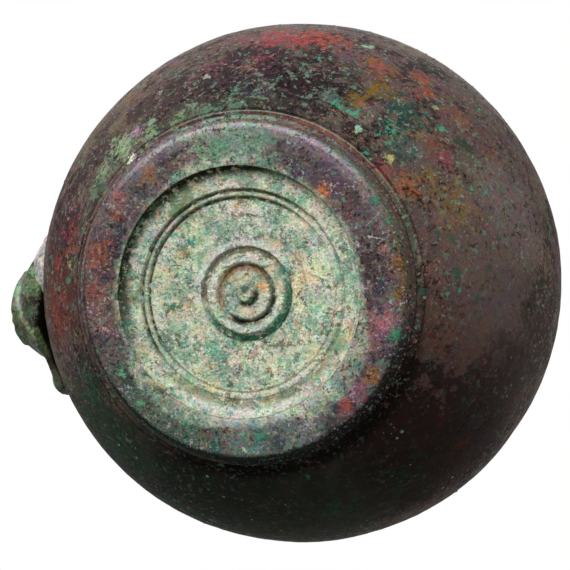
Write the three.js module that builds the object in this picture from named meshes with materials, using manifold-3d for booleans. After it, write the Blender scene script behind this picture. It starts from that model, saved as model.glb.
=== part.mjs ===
// A globular bronze jug with a trefoil mouth, a strap handle and a turned base, as separate soldered pieces.
// Millimetres, +Z up. The origin is on the jug's axis in the plane that it stands on.
// The handle is towards +X and the spout towards -X.
import * as THREE from "three";
import { mergeVertices } from "three/addons/utils/BufferGeometryUtils.js";
import Module from "manifold-3d";

const wasm = await Module();
wasm.setup();

// Fits
const seat = 0.3; // gap between two pieces that touch
const solder = 0.7; // thickness of a solder bed

// Belly and wall
const bellyRadius = 70;
const bellyHeight = 55; // height of the widest circle
const wall = 1.6;

// Foot ring
const footRadius = 43.5; // outer radius at the bottom
const footOpening = 32.7; // radius of the bore that holds the base disc
const footHeight = 3.6; // up to the seam under the belly
const footFlare = 1.6; // how much wider the ring is at the seam
const footRounding = 1.8; // outer bottom edge
const footChamfer = 0.4; // inner bottom edge

// Base disc and its turned rings, all on the underside
const discRecess = 2.2; // depth of the field above the standing plane
const coveWidth = 2.7; // sloping border of the disc
const coveTop = 0.25; // height of the cove's outer edge
const grooveSlope = 0.28; // share of a groove's width that each of its sides takes
const pairRadius = 26.05; // thin ridge between the two outer grooves
const pairGroove = 1.1; // width of each of those grooves
const pairRidge = 0.8;
const pairDepth = 0.6;
const ringInner = 7.95; // raised ring round the middle
const ringOuter = 10.35;
const ringRise = 0.6;
const ringGroove = 1.6; // width of the groove on each side of the raised ring
const ringDepth = 0.8;
const ringRounding = 0.4;
const plateauRise = 0.4; // the face inside the ring stands this far out of the field
const bossRadius = 2.15; // centre mark of the lathe
const bossFlat = 1.6; // radius of its flat tip
const bossTip = 0.3; // height of the tip above the standing plane
const bossShoulder = 0.5; // height that its rounded edge takes

// Shell bottom
const flangeOverlap = 2.6; // how far the shell's floor laps over the disc
const beadWidth = 3;
const beadHeight = 1.5;

// Neck and mouth
const neckRadius = 21;
const neckFillet = 12;
const neckLength = 12;
const neckRing = 1.1; // turned moulding at the neck's root
const neckRingWidth = 3.2;
const mouthRise = 23; // from the neck's top to the lip
const mouthFlare = 1.9; // above 1 the mouth opens late, near the lip
const spoutReach = 40; // lip radius at the spout
const sideReach = 35; // lip radius at the side lobes
const backReach = 29; // lip radius at the handle
const pinchReach = 24; // lip radius in the two folds
const foldSharpness = 0.8; // below 1 the folds are narrow and the lobes full
const backSpread = 0.6; // radians either side of the handle where the lip is open
const backBlend = 0.75; // radians over which it widens from the handle to the side lobes
const spoutStart = 1.6; // angle from the handle where the lip begins to draw out to the spout
const spoutBlend = 0.9;
const lipWave = 1.6; // the lip dips in the folds
const lipWaveStart = 1.2;
const lipThickness = 3;
const lipBand = 0.1; // share of the outline, at the top, over which the wall thickens to the lip

// Leaf plate on the belly: heights are from the widest circle, sideways is positive towards +Y
const leafTip = -16;
const leafTop = 18;
const leafWidth = 43.6;
const leafBroadest = 0.4; // where it is widest, as a share of its length
const leafShoulder = 0.4; // share over which it narrows to the grip
const leafFullness = 0.85; // below 1 the outline fills out quickly from the tip
const leafPoint = 0.03; // half width of the blunt tip, as a share
const leafPlate = 2.4; // thickness in the middle
const leafEdge = 1.2; // thickness at the rim
const tipTaper = 6; // length over which the tip thickens
const domeRise = 7; // swelling of the middle
const domeHeight = -5;
const domeNear = 17.5; // its half width towards +Y
const domeFar = 10.8; // its half width towards -Y
const domeFullness = 1.1;
const domeFall = 11.5; // length from its summit down to nothing
const domeFade = 30; // how slowly it dies out towards the grip
const lobeRise = 2; // small boss on the side towards -Y
const lobeSide = -18.2;
const lobeHeight = -5;
const lobeRadius = 3.4;
const hollowDepth = 1; // the back is dished towards the tip
const hollowSide = -2.5;
const hollowHalf = 8.5;
const hollowTop = 2;
const hollowFade = 8;
const bedLow = 0.35; // the solder under the leaf, as shares of the leaf's length and width
const bedHigh = 0.92;
const bedBreadth = 0.9;

// Handle
const gripWidth = 13;
const gripThickness = 6;
const gripReach = 16; // how far the grip stands out past the belly
const gripRise = 13; // arch above the lip
const gripLow = 6; // height of its lower end
const gripOff = 5.1; // distance of that end's middle from the leaf's bed
const gripSide = [[0.62, 0.26], [1, 0.55], [0.81, 0.84]]; // shares of its reach and of the lip's height
const gripArch = [[0.62, 0.75], [0.25, 0.85]]; // shares of the way out from the lip and of the arch
const gripEnd = 1.5; // it ends this far outside the lip and below it
const gripFlare = [0.45, 0.2]; // wider at the leaf: how much, and over which share of its length
const gripSpread = [0.35, 0.16]; // the same at the lip
const gripSwell = [0.25, 0.15]; // thicker at the leaf
const gripJoint = 0.16; // share of the path that belongs to the leaf's stub
const gripLanding = 0.93; // from here on the grip may touch the lip
const armRadius = 3.4;
const armThinning = 0.55;
const armTip = 0.5; // least radius
const armClose = 0.04; // share over which its end closes
const armSweep = 58; // degrees along the lip on each side
const armSink = 0.35; // share of an arm's radius that it keeps off the lip before it is cut to it
const armDrop = 1.2; // how far the arms' middle lies below the lip
const knobRadius = 3.3;
const knobSpread = 0.09; // half the knob's length, as a share of the arm
const thumbHeight = 15;
const thumbWidth = 11;
const thumbRoot = 0.84; // where it stands on the grip's path
const thumbLean = 5;
const thumbBend = 1.6;
const thumbBroadest = 0.3; // share of its height
const thumbTaper = 0.71;
const thumbTip = 0.03;
const thumbBottom = 2.4; // half thickness at the bottom and at the top
const thumbEdge = 1.1;

// Fineness
const around = 40;
const beltSteps = 8;
const tubeSides = 10;

// Values worked out from the sizes
const seamRadius = footRadius + footFlare;
const shellFloor = footHeight + seat;
const lowerDepth = (bellyHeight - shellFloor) / Math.sqrt(1 - (seamRadius / bellyRadius) ** 2);
const filletRadius = neckRadius + neckFillet;
const neckRoot = bellyHeight + Math.sqrt((bellyRadius + neckFillet) ** 2 - filletRadius ** 2);
const mouthRoot = neckRoot + neckLength;
const lipHeight = mouthRoot + mouthRise;
const discRadius = footOpening - seat;
const flangeRadius = discRadius - flangeOverlap;
const bedHeight = seat + solder + seat; // the leaf and the arms stand this far off the shell

const bronze = new THREE.MeshStandardMaterial({ color: 0x43302f, roughness: 0.5, metalness: 0.6 });
const crust = new THREE.MeshStandardMaterial({ color: 0xa9b592, roughness: 0.9, metalness: 0.1 });
const greenBronze = new THREE.MeshStandardMaterial({ color: 0x5c6f54, roughness: 0.6, metalness: 0.4 });
const greyMetal = new THREE.MeshStandardMaterial({ color: 0x7c7d78, roughness: 0.8, metalness: 0.4 });

const smooth = (x) => {
  const t = Math.min(1, Math.max(0, x));
  return t * t * (3 - 2 * t);
};
const bump = (x) => Math.exp(-x * x);
const arch = (x) => Math.cos((Math.PI / 2) * Math.min(1, Math.abs(x)));
const mix = (a, b, t) => a + (b - a) * t;

// Faces between rows of points, each row closed on itself; `closed` also joins the last row to the first.
function sideFaces(rowCount, count, closed) {
  const index = [];
  for (let i = 0; i < (closed ? rowCount : rowCount - 1); i++) {
    const next = (i + 1) % rowCount;
    for (let j = 0; j < count; j++) {
      const beside = (j + 1) % count;
      const a = i * count + j;
      const b = i * count + beside;
      const c = next * count + beside;
      const d = next * count + j;
      index.push(a, b, c, a, c, d);
    }
  }
  return index;
}

// A closed body from a grid of points, joined in both directions: rows[i][j], j round the piece.
function wrappedGrid(rows) {
  return geometryFrom(rows.flat(), sideFaces(rows.length, rows[0].length, true));
}

// A body from rings of points along a path, with a flat cap on each end.
function cappedRings(rings) {
  const count = rings[0].length;
  const points = rings.flat();
  const index = sideFaces(rings.length, count, false);
  const last = (rings.length - 1) * count;
  const start = points.push(middleOf(rings[0])) - 1;
  const end = points.push(middleOf(rings.at(-1))) - 1;
  for (let j = 0; j < count; j++) {
    const beside = (j + 1) % count;
    index.push(start, beside, j);
    index.push(end, last + j, last + beside);
  }
  return geometryFrom(points, index);
}

// A body from rings that are flat strips, two points thick, with each end closed by a strip of faces.
function cappedStrips(rings, columns) {
  const count = rings[0].length;
  const index = sideFaces(rings.length, count, false);
  const last = (rings.length - 1) * count;
  for (let j = 0; j < columns; j++) {
    const [a, b, c, d] = [j, j + 1, count - 2 - j, count - 1 - j];
    index.push(a, c, b, a, d, c);
    index.push(last + a, last + b, last + c, last + a, last + c, last + d);
  }
  return geometryFrom(rings.flat(), index);
}

function middleOf(ring) {
  const sum = ring.reduce((total, point) => total.add(point), new THREE.Vector3());
  return sum.divideScalar(ring.length);
}

function geometryFrom(points, index) {
  const flat = new Float32Array(points.flatMap((point) => [point.x, point.y, point.z]));
  const geometry = new THREE.BufferGeometry();
  geometry.setAttribute("position", new THREE.BufferAttribute(flat, 3));
  geometry.setIndex(index);
  return geometry;
}

// A manifold-3d solid from a geometry, turned right side out if need be.
function solidFrom(geometry) {
  const plain = geometry.clone();
  plain.deleteAttribute("normal");
  plain.deleteAttribute("uv");
  const merged = mergeVertices(plain, 1e-4);
  const made = (flip) => {
    const triVerts = new Uint32Array(merged.index.array);
    if (flip) {
      for (let i = 0; i < triVerts.length; i += 3) {
        [triVerts[i + 1], triVerts[i + 2]] = [triVerts[i + 2], triVerts[i + 1]];
      }
    }
    const vertProperties = merged.attributes.position.array;
    return new wasm.Manifold(new wasm.Mesh({ numProp: 3, vertProperties, triVerts }));
  };
  const solid = made(false);
  return solid.volume() < 0 ? made(true) : solid;
}

function meshFrom(name, solid, material) {
  const mesh = solid.getMesh();
  const geometry = new THREE.BufferGeometry();
  geometry.setAttribute("position", new THREE.BufferAttribute(new Float32Array(mesh.vertProperties), 3));
  geometry.setIndex(new THREE.BufferAttribute(new Uint32Array(mesh.triVerts), 1));
  geometry.computeVertexNormals();
  const piece = new THREE.Mesh(geometry, material);
  piece.name = name;
  return piece;
}

// A solid turned about the axis from [radius, height] pairs that close on themselves.
function turned(profile) {
  const closed = [...profile, profile[0]].map(([radius, height]) => new THREE.Vector2(radius, height));
  const lathe = new THREE.LatheGeometry(closed, around);
  return solidFrom(lathe.rotateX(Math.PI / 2));
}

// Radius and height of the belly at an angle above (+) or below (-) its widest circle.
function bellyPoint(angle) {
  const depth = angle < 0 ? lowerDepth : bellyRadius;
  return [bellyRadius * Math.cos(angle), bellyHeight + depth * Math.sin(angle)];
}

// 1 in the middle of each of the mouth's three lobes, 0 between them.
const lobeShare = (angle) => (1 + Math.cos(3 * (angle - Math.PI))) / 2;

// Lip radius round the mouth; angle 0 is at the handle and pi at the spout.
function lipReach(angle) {
  const open = Math.max(lobeShare(angle), bump(angle / backSpread));
  const side = mix(sideReach, backReach, bump(angle / backBlend));
  const reach = mix(side, spoutReach, smooth((Math.abs(angle) - spoutStart) / spoutBlend));
  return mix(pinchReach, reach, open ** foldSharpness);
}

function lipLevel(angle) {
  const dip = (1 - lobeShare(angle)) * smooth(Math.abs(angle) / lipWaveStart);
  return lipHeight - lipWave * dip;
}

// The shell's outer line at one angle round the axis, from the seam over the foot up to the lip.
function outerLine(angle) {
  const line = [];
  const seamAngle = -Math.acos(seamRadius / bellyRadius);
  for (let i = 0; i <= beltSteps; i++) {
    line.push(bellyPoint(mix(seamAngle, 0, i / beltSteps)));
  }
  const shoulderAngle = Math.acos(filletRadius / (bellyRadius + neckFillet));
  for (let i = 1; i <= beltSteps; i++) {
    line.push(bellyPoint(mix(0, shoulderAngle, i / beltSteps)));
  }
  const filletSteps = 4;
  for (let i = 1; i <= filletSteps; i++) {
    const turn = mix(shoulderAngle, 0, i / filletSteps);
    line.push([filletRadius - neckFillet * Math.cos(turn), neckRoot - neckFillet * Math.sin(turn)]);
  }
  const neckSteps = 2;
  for (let i = 1; i <= neckSteps; i++) {
    line.push([neckRadius, mix(neckRoot, mouthRoot, i / neckSteps)]);
  }
  const mouthSteps = 7;
  const reach = lipReach(angle) - lipThickness / 2;
  for (let i = 1; i <= mouthSteps; i++) {
    const rise = i / mouthSteps;
    line.push([mix(neckRadius, reach, rise ** mouthFlare), mix(mouthRoot, lipLevel(angle), rise)]);
  }
  return line;
}

// Outward direction of a line at point i, in the plane of the radius and the height.
function outwardAt(line, i) {
  const before = line[Math.max(0, i - 1)];
  const after = line[Math.min(line.length - 1, i + 1)];
  const [run, rise] = [after[0] - before[0], after[1] - before[1]];
  const length = Math.hypot(run, rise);
  return [rise / length, -run / length];
}

function offsetLine(line, distance) {
  return line.map(([radius, height], i) => {
    const [outR, outZ] = outwardAt(line, i);
    const far = distance(i / (line.length - 1), height);
    return [radius + outR * far, height + outZ * far];
  });
}

// The rounded lip that joins the outer line's last point to the inner line's.
function lipRound(from, to, grow = 0) {
  const middle = [(from[0] + to[0]) / 2, (from[1] + to[1]) / 2];
  const half = [(from[0] - to[0]) / 2, (from[1] - to[1]) / 2];
  const up = [-half[1], half[0]];
  const stretch = 1 + grow / Math.hypot(...half);
  const steps = 4;
  const line = [];
  for (let i = 1; i < steps; i++) {
    const turn = (Math.PI * i) / steps;
    line.push([
      middle[0] + stretch * (half[0] * Math.cos(turn) + up[0] * Math.sin(turn)),
      middle[1] + stretch * (half[1] * Math.cos(turn) + up[1] * Math.sin(turn)),
    ]);
  }
  return line;
}

// Extra thickness outside the plain wall: the ring at the neck's root and the thick lip.
function outerGrowth(share, height) {
  const ring = neckRing * bump((height - neckRoot - neckRingWidth / 2) / (neckRingWidth / 2));
  const lip = (lipThickness - wall) * smooth((share - 1 + lipBand) / lipBand);
  return ring + lip;
}

function pointAt(radius, height, angle) {
  return new THREE.Vector3(radius * Math.cos(angle), radius * Math.sin(angle), height);
}

function ringsRound(lineAt) {
  const columns = [];
  for (let j = 0; j < around; j++) {
    const angle = (2 * Math.PI * j) / around;
    const signed = angle > Math.PI ? angle - 2 * Math.PI : angle;
    columns.push(lineAt(signed).map(([radius, height]) => pointAt(radius, height, signed)));
  }
  return columns[0].map((_, i) => columns.map((column) => column[i]));
}

// The shell: floor flange, belly, shoulder, neck and mouth in one piece of even wall.
function bodyShell() {
  const rows = ringsRound((angle) => {
    const line = outerLine(angle);
    const outer = offsetLine(line, outerGrowth);
    const inner = offsetLine(line, () => -wall);
    const floorTop = shellFloor + wall;
    const innerKept = inner.filter(([, height], i) => i > 2 || height > floorTop);
    const first = innerKept[0];
    return [
      [flangeRadius, floorTop],
      [flangeRadius, shellFloor],
      ...outer,
      ...lipRound(outer.at(-1), inner.at(-1)),
      ...innerKept.reverse(),
      [first[0] - wall, floorTop],
    ];
  });
  return solidFrom(wrappedGrid(rows));
}

// Everything within a distance of the shell's outside, to cut what is soldered on to it.
function envelope(distance) {
  const rows = ringsRound((angle) => {
    const line = outerLine(angle);
    const outer = offsetLine(line, outerGrowth);
    const inner = offsetLine(line, () => -wall);
    const grown = offsetLine(line, (share, height) => outerGrowth(share, height) + distance);
    const lip = lipRound(outer.at(-1), inner.at(-1), distance).slice(0, 2);
    return [[grown[0][0], shellFloor - distance], ...grown, ...lip];
  });
  return solidFrom(cappedRings(rows));
}

function footRing() {
  const steps = 5;
  const outerEdge = [];
  for (let i = 0; i <= steps; i++) {
    const turn = (Math.PI / 2) * (i / steps);
    outerEdge.push([
      footRadius - footRounding * (1 - Math.sin(turn)),
      footRounding * (1 - Math.cos(turn)),
    ]);
  }
  return turned([
    [footOpening + footChamfer, 0],
    ...outerEdge,
    [seamRadius, footHeight],
    [footOpening, footHeight],
    [footOpening, footChamfer],
  ]);
}

// One groove of a turned face, from the inside out: down from one level, along its floor and up to another.
function groove(from, width, levels, floor) {
  return [
    [from, levels[0]],
    [from + width * grooveSlope, floor],
    [from + width * (1 - grooveSlope), floor],
    [from + width, levels[1]],
  ];
}

function baseDisc() {
  const field = discRecess;
  const plateau = field - plateauRise;
  const ringTop = field - ringRise;
  const ringEdge = ringTop + ringRounding;
  const ringFloor = field + ringDepth;
  const pairFloor = field + pairDepth;
  const coveSteps = 4;
  const cove = [];
  for (let i = 0; i <= coveSteps; i++) {
    const turn = (Math.PI / 2) * (i / coveSteps);
    cove.push([
      discRadius - coveWidth * (1 - Math.sin(turn)),
      coveTop + (field - coveTop) * Math.cos(turn),
    ]);
  }
  const underside = [
    [0, bossTip],
    [bossFlat, bossTip],
    [bossRadius, bossTip + bossShoulder],
    [bossRadius, plateau],
    ...groove(ringInner - ringGroove, ringGroove, [plateau, ringEdge], ringFloor),
    [ringInner + ringRounding, ringTop],
    [ringOuter - ringRounding, ringTop],
    ...groove(ringOuter, ringGroove, [ringEdge, field], ringFloor),
    ...groove(pairRadius - pairRidge / 2 - pairGroove, pairGroove, [field, field], pairFloor),
    ...groove(pairRadius + pairRidge / 2, pairGroove, [field, field], pairFloor),
    ...cove,
  ];
  return turned([...underside, [discRadius, footHeight], [0, footHeight]]);
}

// Solder bead inside, in the corner between the shell's flange and the disc.
function baseSolder() {
  const outer = flangeRadius - seat;
  const low = footHeight + seat;
  const steps = 5;
  const top = [];
  for (let i = 0; i <= steps; i++) {
    const turn = (Math.PI / 2) * (i / steps);
    top.push([outer - beadWidth * (1 - Math.cos(turn)), low + beadHeight * (1 - Math.sin(turn))]);
  }
  return turned([[outer, low], ...top]);
}

// A point on the belly at a sideways distance and a height from the widest circle, lifted off it.
function onBelly(sideways, height, lift) {
  const depth = height < 0 ? lowerDepth : bellyRadius;
  const latitude = Math.asin(Math.max(-1, Math.min(1, height / depth)));
  const radius = bellyRadius * Math.cos(latitude);
  const angle = sideways / bellyRadius;
  const flat = new THREE.Vector2(Math.cos(latitude) / bellyRadius, Math.sin(latitude) / depth).normalize();
  return pointAt(radius + lift * flat.x, bellyHeight + height + lift * flat.y, angle);
}

// Half the leaf's width at a share of its length: a drawn point, two side lobes and a neck into the grip.
function leafHalf(share) {
  const lobe = arch(1 - Math.min(1, share / leafBroadest)) ** leafFullness;
  const neck = gripWidth / leafWidth;
  const upper = mix(1, neck, smooth((share - leafBroadest) / leafShoulder));
  return (leafWidth / 2) * Math.max(leafPoint, Math.min(lobe, upper));
}

const leafPlace = (side, share) => [side * leafHalf(share), mix(leafTip, leafTop, share)];

// How far the leaf's face stands off its bed.
function leafFace(sideways, height) {
  const across = 1 - Math.min(1, Math.abs((2 * sideways) / leafWidth)) ** 2;
  const thickness = mix(leafEdge, leafPlate, across * smooth((height - leafTip) / tipTaper));
  const away = height - domeHeight;
  const along = away < 0 ? arch(away / domeFall) : bump(away / domeFade);
  const dome = domeRise * arch(sideways / (sideways > 0 ? domeNear : domeFar)) ** domeFullness * along;
  const lobe = lobeRise * bump(Math.hypot(sideways - lobeSide, height - lobeHeight) / lobeRadius);
  return thickness + dome + lobe;
}

function leafHollow(sideways, height) {
  const across = arch((sideways - hollowSide) / hollowHalf) ** 2;
  return hollowDepth * across * smooth((hollowTop - height) / hollowFade);
}

// A body between two lifted copies of a patch of the belly.
function bellyPatch(columns, rowsCount, place, lowLift, highLift) {
  const rings = [];
  for (let i = 0; i <= rowsCount; i++) {
    const high = [];
    const low = [];
    for (let j = 0; j <= columns; j++) {
      const [sideways, height] = place(mix(-1, 1, j / columns), i / rowsCount);
      high.push(onBelly(sideways, height, highLift(sideways, height)));
      low.push(onBelly(sideways, height, lowLift(sideways, height)));
    }
    rings.push([...high, ...low.reverse()]);
  }
  return solidFrom(cappedStrips(rings, columns));
}

function leafBody() {
  const back = (sideways, height) => bedHeight + leafHollow(sideways, height);
  const face = (sideways, height) => bedHeight + leafFace(sideways, height);
  const plate = bellyPatch(20, 18, leafPlace, back, face);
  return plate.add(gripRun(0, gripJoint)).subtract(envelope(bedHeight));
}

function leafSolder() {
  const place = (side, share) => {
    const [sideways, height] = leafPlace(side, mix(bedLow, bedHigh, share));
    return [sideways * bedBreadth, height];
  };
  return bellyPatch(10, 8, place, () => seat, () => seat + solder);
}

// The line through the middle of the grip, from inside the leaf up, over and down to the lip.
function gripCurve() {
  const reach = bellyRadius + gripReach;
  const lip = lipReach(0);
  const rise = lipHeight - bellyHeight;
  const at = (x, height) => new THREE.Vector3(x, 0, bellyHeight + height);
  const points = [
    at(bellyRadius + bedHeight + gripOff, gripLow),
    ...gripSide.map(([out, up]) => at(mix(bellyRadius, reach, out), rise * up)),
    ...gripArch.map(([out, up]) => at(mix(lip, reach, out), rise + gripRise * up)),
    at(lip + gripEnd, rise - gripEnd),
  ];
  return new THREE.CatmullRomCurve3(points, false, "centripetal");
}

// Half width and half thickness of the grip along its length: broad at both ends, slim in the hand.
function gripSize(share) {
  const flare = gripFlare[0] * bump(share / gripFlare[1]);
  const spread = gripSpread[0] * bump((share - 1) / gripSpread[1]);
  const swell = gripSwell[0] * bump(share / gripSwell[1]);
  return [(gripWidth / 2) * (1 + flare + spread), (gripThickness / 2) * (1 + swell)];
}

// The strap's section, in half widths and half thicknesses: a rib runs along the middle of the outside.
const gripSection = [
  [0, 1.25],
  [-0.2, 0.8],
  [-0.62, 0.72],
  [-0.95, 0.3],
  [-0.95, -0.25],
  [-0.6, -0.72],
  [0, -0.85],
  [0.6, -0.72],
  [0.95, -0.25],
  [0.95, 0.3],
  [0.62, 0.72],
  [0.2, 0.8],
];

function gripRun(from, to) {
  const curve = gripCurve();
  const fewest = 4;
  const whole = 30;
  const steps = Math.max(fewest, Math.round(whole * (to - from)));
  const rings = [];
  for (let i = 0; i <= steps; i++) {
    const share = mix(from, to, i / steps);
    const centre = curve.getPointAt(share);
    const along = curve.getTangentAt(share);
    const sideways = new THREE.Vector3(0, 1, 0);
    const outward = new THREE.Vector3(along.z, 0, -along.x);
    const [half, thick] = gripSize(share);
    const place = ([across, out]) =>
      centre.clone().addScaledVector(sideways, across * half).addScaledVector(outward, out * thick);
    rings.push(gripSection.map(place));
  }
  return solidFrom(cappedRings(rings));
}

// A round tube along points, with a radius at each.
function tube(points, radii) {
  const rings = points.map((point, i) => {
    const before = points[Math.max(0, i - 1)];
    const after = points[Math.min(points.length - 1, i + 1)];
    const along = after.clone().sub(before).normalize();
    const level = new THREE.Vector3(0, 0, 1).cross(along).normalize();
    const up = along.clone().cross(level);
    const ring = [];
    for (let j = 0; j < tubeSides; j++) {
      const turn = (2 * Math.PI * j) / tubeSides;
      ring.push(point.clone()
        .addScaledVector(level, radii[i] * Math.cos(turn))
        .addScaledVector(up, radii[i] * Math.sin(turn)));
    }
    return ring;
  });
  return solidFrom(cappedRings(rings));
}

// One arm along the lip, thinner towards its end and finished with a small knob.
function lipArm(side) {
  const points = [];
  const radii = [];
  const steps = 16;
  for (let i = 0; i <= steps; i++) {
    const share = i / steps;
    const angle = side * THREE.MathUtils.degToRad(armSweep) * share;
    const fromKnob = (share - 1 + knobSpread) / knobSpread;
    const knob = knobRadius * Math.sqrt(Math.max(0, 1 - fromKnob ** 2));
    const bare = armRadius * mix(1, armThinning, share) * smooth((1 - share) / armClose);
    const radius = Math.max(armTip, bare, knob);
    const away = bedHeight + armSink * radius;
    points.push(pointAt(lipReach(angle) + away, lipLevel(angle) - armDrop, angle));
    radii.push(radius);
  }
  return tube(points, radii);
}

// The upright tongue at the top of the arch, where the thumb rests.
function thumbRest() {
  const foot = gripCurve().getPointAt(thumbRoot);
  const steps = 6;
  const rings = [];
  for (let i = 0; i <= steps; i++) {
    const share = i / steps;
    const lean = new THREE.Vector3(thumbLean * share ** thumbBend, 0, thumbHeight * share);
    const centre = foot.clone().add(lean);
    const outline = 1 - ((share - thumbBroadest) / thumbTaper) ** 2;
    const half = (thumbWidth / 2) * Math.sqrt(Math.max(thumbTip, outline));
    const thick = mix(thumbBottom, thumbEdge, share);
    const ring = [];
    for (let j = 0; j < tubeSides; j++) {
      const turn = (2 * Math.PI * j) / tubeSides;
      ring.push(centre.clone().add(new THREE.Vector3(thick * Math.cos(turn), half * Math.sin(turn), 0)));
    }
    rings.push(ring);
  }
  return solidFrom(cappedRings(rings));
}

function handleBody() {
  const jointGap = seat / gripCurve().getLength();
  return gripRun(gripJoint + jointGap, 1)
    .add(lipArm(1))
    .add(lipArm(-1))
    .add(thumbRest())
    .subtract(envelope(bedHeight));
}

// Solder between the lip and the arms.
function lipSolder() {
  const bed = gripRun(gripLanding, 1).add(lipArm(1)).add(lipArm(-1));
  return bed.intersect(envelope(seat + solder)).subtract(envelope(seat));
}

const jug = new THREE.Group();
jug.name = "jug";
jug.add(
  meshFrom("body_shell", bodyShell(), bronze),
  meshFrom("foot_ring", footRing(), bronze),
  meshFrom("base_disc", baseDisc(), crust),
  meshFrom("base_solder", baseSolder(), greyMetal),
  meshFrom("leaf_plate", leafBody(), greenBronze),
  meshFrom("leaf_solder", leafSolder(), greyMetal),
  meshFrom("handle", handleBody(), greenBronze),
  meshFrom("lip_solder", lipSolder(), greyMetal),
);

export default jug;
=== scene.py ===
# A globular bronze jug with a trefoil mouth and a leaf-footed handle, photographed from below.
# Shapes are worked out in millimetres and written to the meshes in metres.
import math
import bmesh
import bpy
import numpy as np
from mathutils import Matrix, Vector, noise
from mathutils.bvhtree import BVHTree


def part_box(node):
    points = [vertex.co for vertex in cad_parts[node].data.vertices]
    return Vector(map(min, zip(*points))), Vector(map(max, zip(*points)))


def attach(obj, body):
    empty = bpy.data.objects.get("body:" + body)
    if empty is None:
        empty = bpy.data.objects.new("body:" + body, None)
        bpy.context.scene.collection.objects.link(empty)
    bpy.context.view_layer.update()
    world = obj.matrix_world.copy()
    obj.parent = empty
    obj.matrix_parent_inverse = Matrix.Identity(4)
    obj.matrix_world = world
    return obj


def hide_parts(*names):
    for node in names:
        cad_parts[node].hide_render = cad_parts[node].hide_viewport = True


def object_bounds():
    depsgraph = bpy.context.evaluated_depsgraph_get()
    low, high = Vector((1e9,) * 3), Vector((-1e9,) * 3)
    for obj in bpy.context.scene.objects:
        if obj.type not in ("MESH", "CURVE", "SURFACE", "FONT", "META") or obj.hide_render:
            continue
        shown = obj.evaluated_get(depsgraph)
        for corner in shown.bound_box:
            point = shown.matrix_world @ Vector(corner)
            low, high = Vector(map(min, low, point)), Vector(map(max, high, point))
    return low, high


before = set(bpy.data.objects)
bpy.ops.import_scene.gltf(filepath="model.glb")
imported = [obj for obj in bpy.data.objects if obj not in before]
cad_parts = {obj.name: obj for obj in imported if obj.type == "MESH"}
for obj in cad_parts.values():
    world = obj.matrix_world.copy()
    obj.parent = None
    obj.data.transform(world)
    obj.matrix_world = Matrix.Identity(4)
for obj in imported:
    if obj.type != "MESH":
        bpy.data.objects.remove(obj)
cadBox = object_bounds()
mm = 0.001


def nodeBox(name):  # a solid's corners in millimetres
    return [np.array(corner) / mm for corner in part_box(name)]


shellLow, shellHigh = nodeBox("body_shell")
footHigh = nodeBox("foot_ring")[1]
discLow, discHigh = nodeBox("base_disc")

# Small helpers


def lerp(a, b, t):
    return a + (b - a) * t


def ease(x):
    t = np.clip(x, 0, 1)
    return t * t * (3 - 2 * t)


def hump(x):
    return np.exp(-np.square(x))


def newObject(name, data):
    obj = bpy.data.objects.new(name, data)
    bpy.context.scene.collection.objects.link(obj)
    return obj


def meshObject(name, points, faces):
    mesh = bpy.data.meshes.new(name)
    mesh.from_pydata((np.asarray(points) * mm).tolist(), [], faces)
    return newObject(name, mesh)


def gridFaces(rows, columns, closeRows=False):  # columns always close round
    index = np.arange(rows * columns).reshape(rows, columns)
    nextRow = np.roll(index, -1, axis=0)
    count = rows if closeRows else rows - 1
    corners = [index, np.roll(index, -1, axis=1), np.roll(nextRow, -1, axis=1), nextRow]
    return np.stack([c[:count] for c in corners], axis=-1).reshape(-1, 4).tolist()


def latheObject(name, radius, height, angles):  # radius and height as rows of columns, closed both ways
    points = np.stack([radius * np.cos(angles), radius * np.sin(angles), height], axis=-1)
    faces = gridFaces(radius.shape[0], radius.shape[1], True)
    return meshObject(name, points.reshape(-1, 3), faces)


def tubeParts(rings):  # rings of points with a cap on each end
    rings = np.asarray(rings)
    rows, columns = rings.shape[:2]
    points = rings.reshape(-1, 3).tolist() + [rings[0].mean(axis=0).tolist(), rings[-1].mean(axis=0).tolist()]
    faces = gridFaces(rows, columns)
    last = (rows - 1) * columns
    for j in range(columns):
        beside = (j + 1) % columns
        faces.append([rows * columns, beside, j])
        faces.append([rows * columns + 1, last + j, last + beside])
    return points, faces


def settle(obj, merge=0.0005):  # merges doubles, turns faces outwards and shades smooth
    work = bmesh.new()
    work.from_mesh(obj.data)
    bmesh.ops.remove_doubles(work, verts=work.verts, dist=merge * mm)
    bmesh.ops.recalc_face_normals(work, faces=work.faces)
    for face in work.faces:
        face.smooth = True
    work.to_mesh(obj.data)
    work.free()
    obj.data.update()
    return obj


def coordinates(obj):
    flat = np.empty(len(obj.data.vertices) * 3)
    obj.data.vertices.foreach_get("co", flat)
    return flat.reshape(-1, 3) / mm


def normals(obj):
    flat = np.empty(len(obj.data.vertices) * 3)
    obj.data.vertices.foreach_get("normal", flat)
    return flat.reshape(-1, 3)


def setCoordinates(obj, points):
    low, high = (np.array(corner) / mm for corner in cadBox)
    obj.data.vertices.foreach_set("co", (np.clip(points, low, high) * mm).ravel())
    obj.data.update()


def relief(points, size, octaves, seed):  # signed noise of about one, features about `size` millimetres
    shift = Vector((seed * 17.3, seed * 5.1, seed * 9.7))
    return np.array([noise.fractal(Vector(p) / size + shift, 1.0, 2.0, octaves) for p in points])


def evaluated(obj):  # the object's shape with its modifiers in it, and the modifiers gone
    mesh = bpy.data.meshes.new_from_object(obj.evaluated_get(bpy.context.evaluated_depsgraph_get()))
    obj.modifiers.clear()
    obj.data = mesh
    return obj


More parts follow.
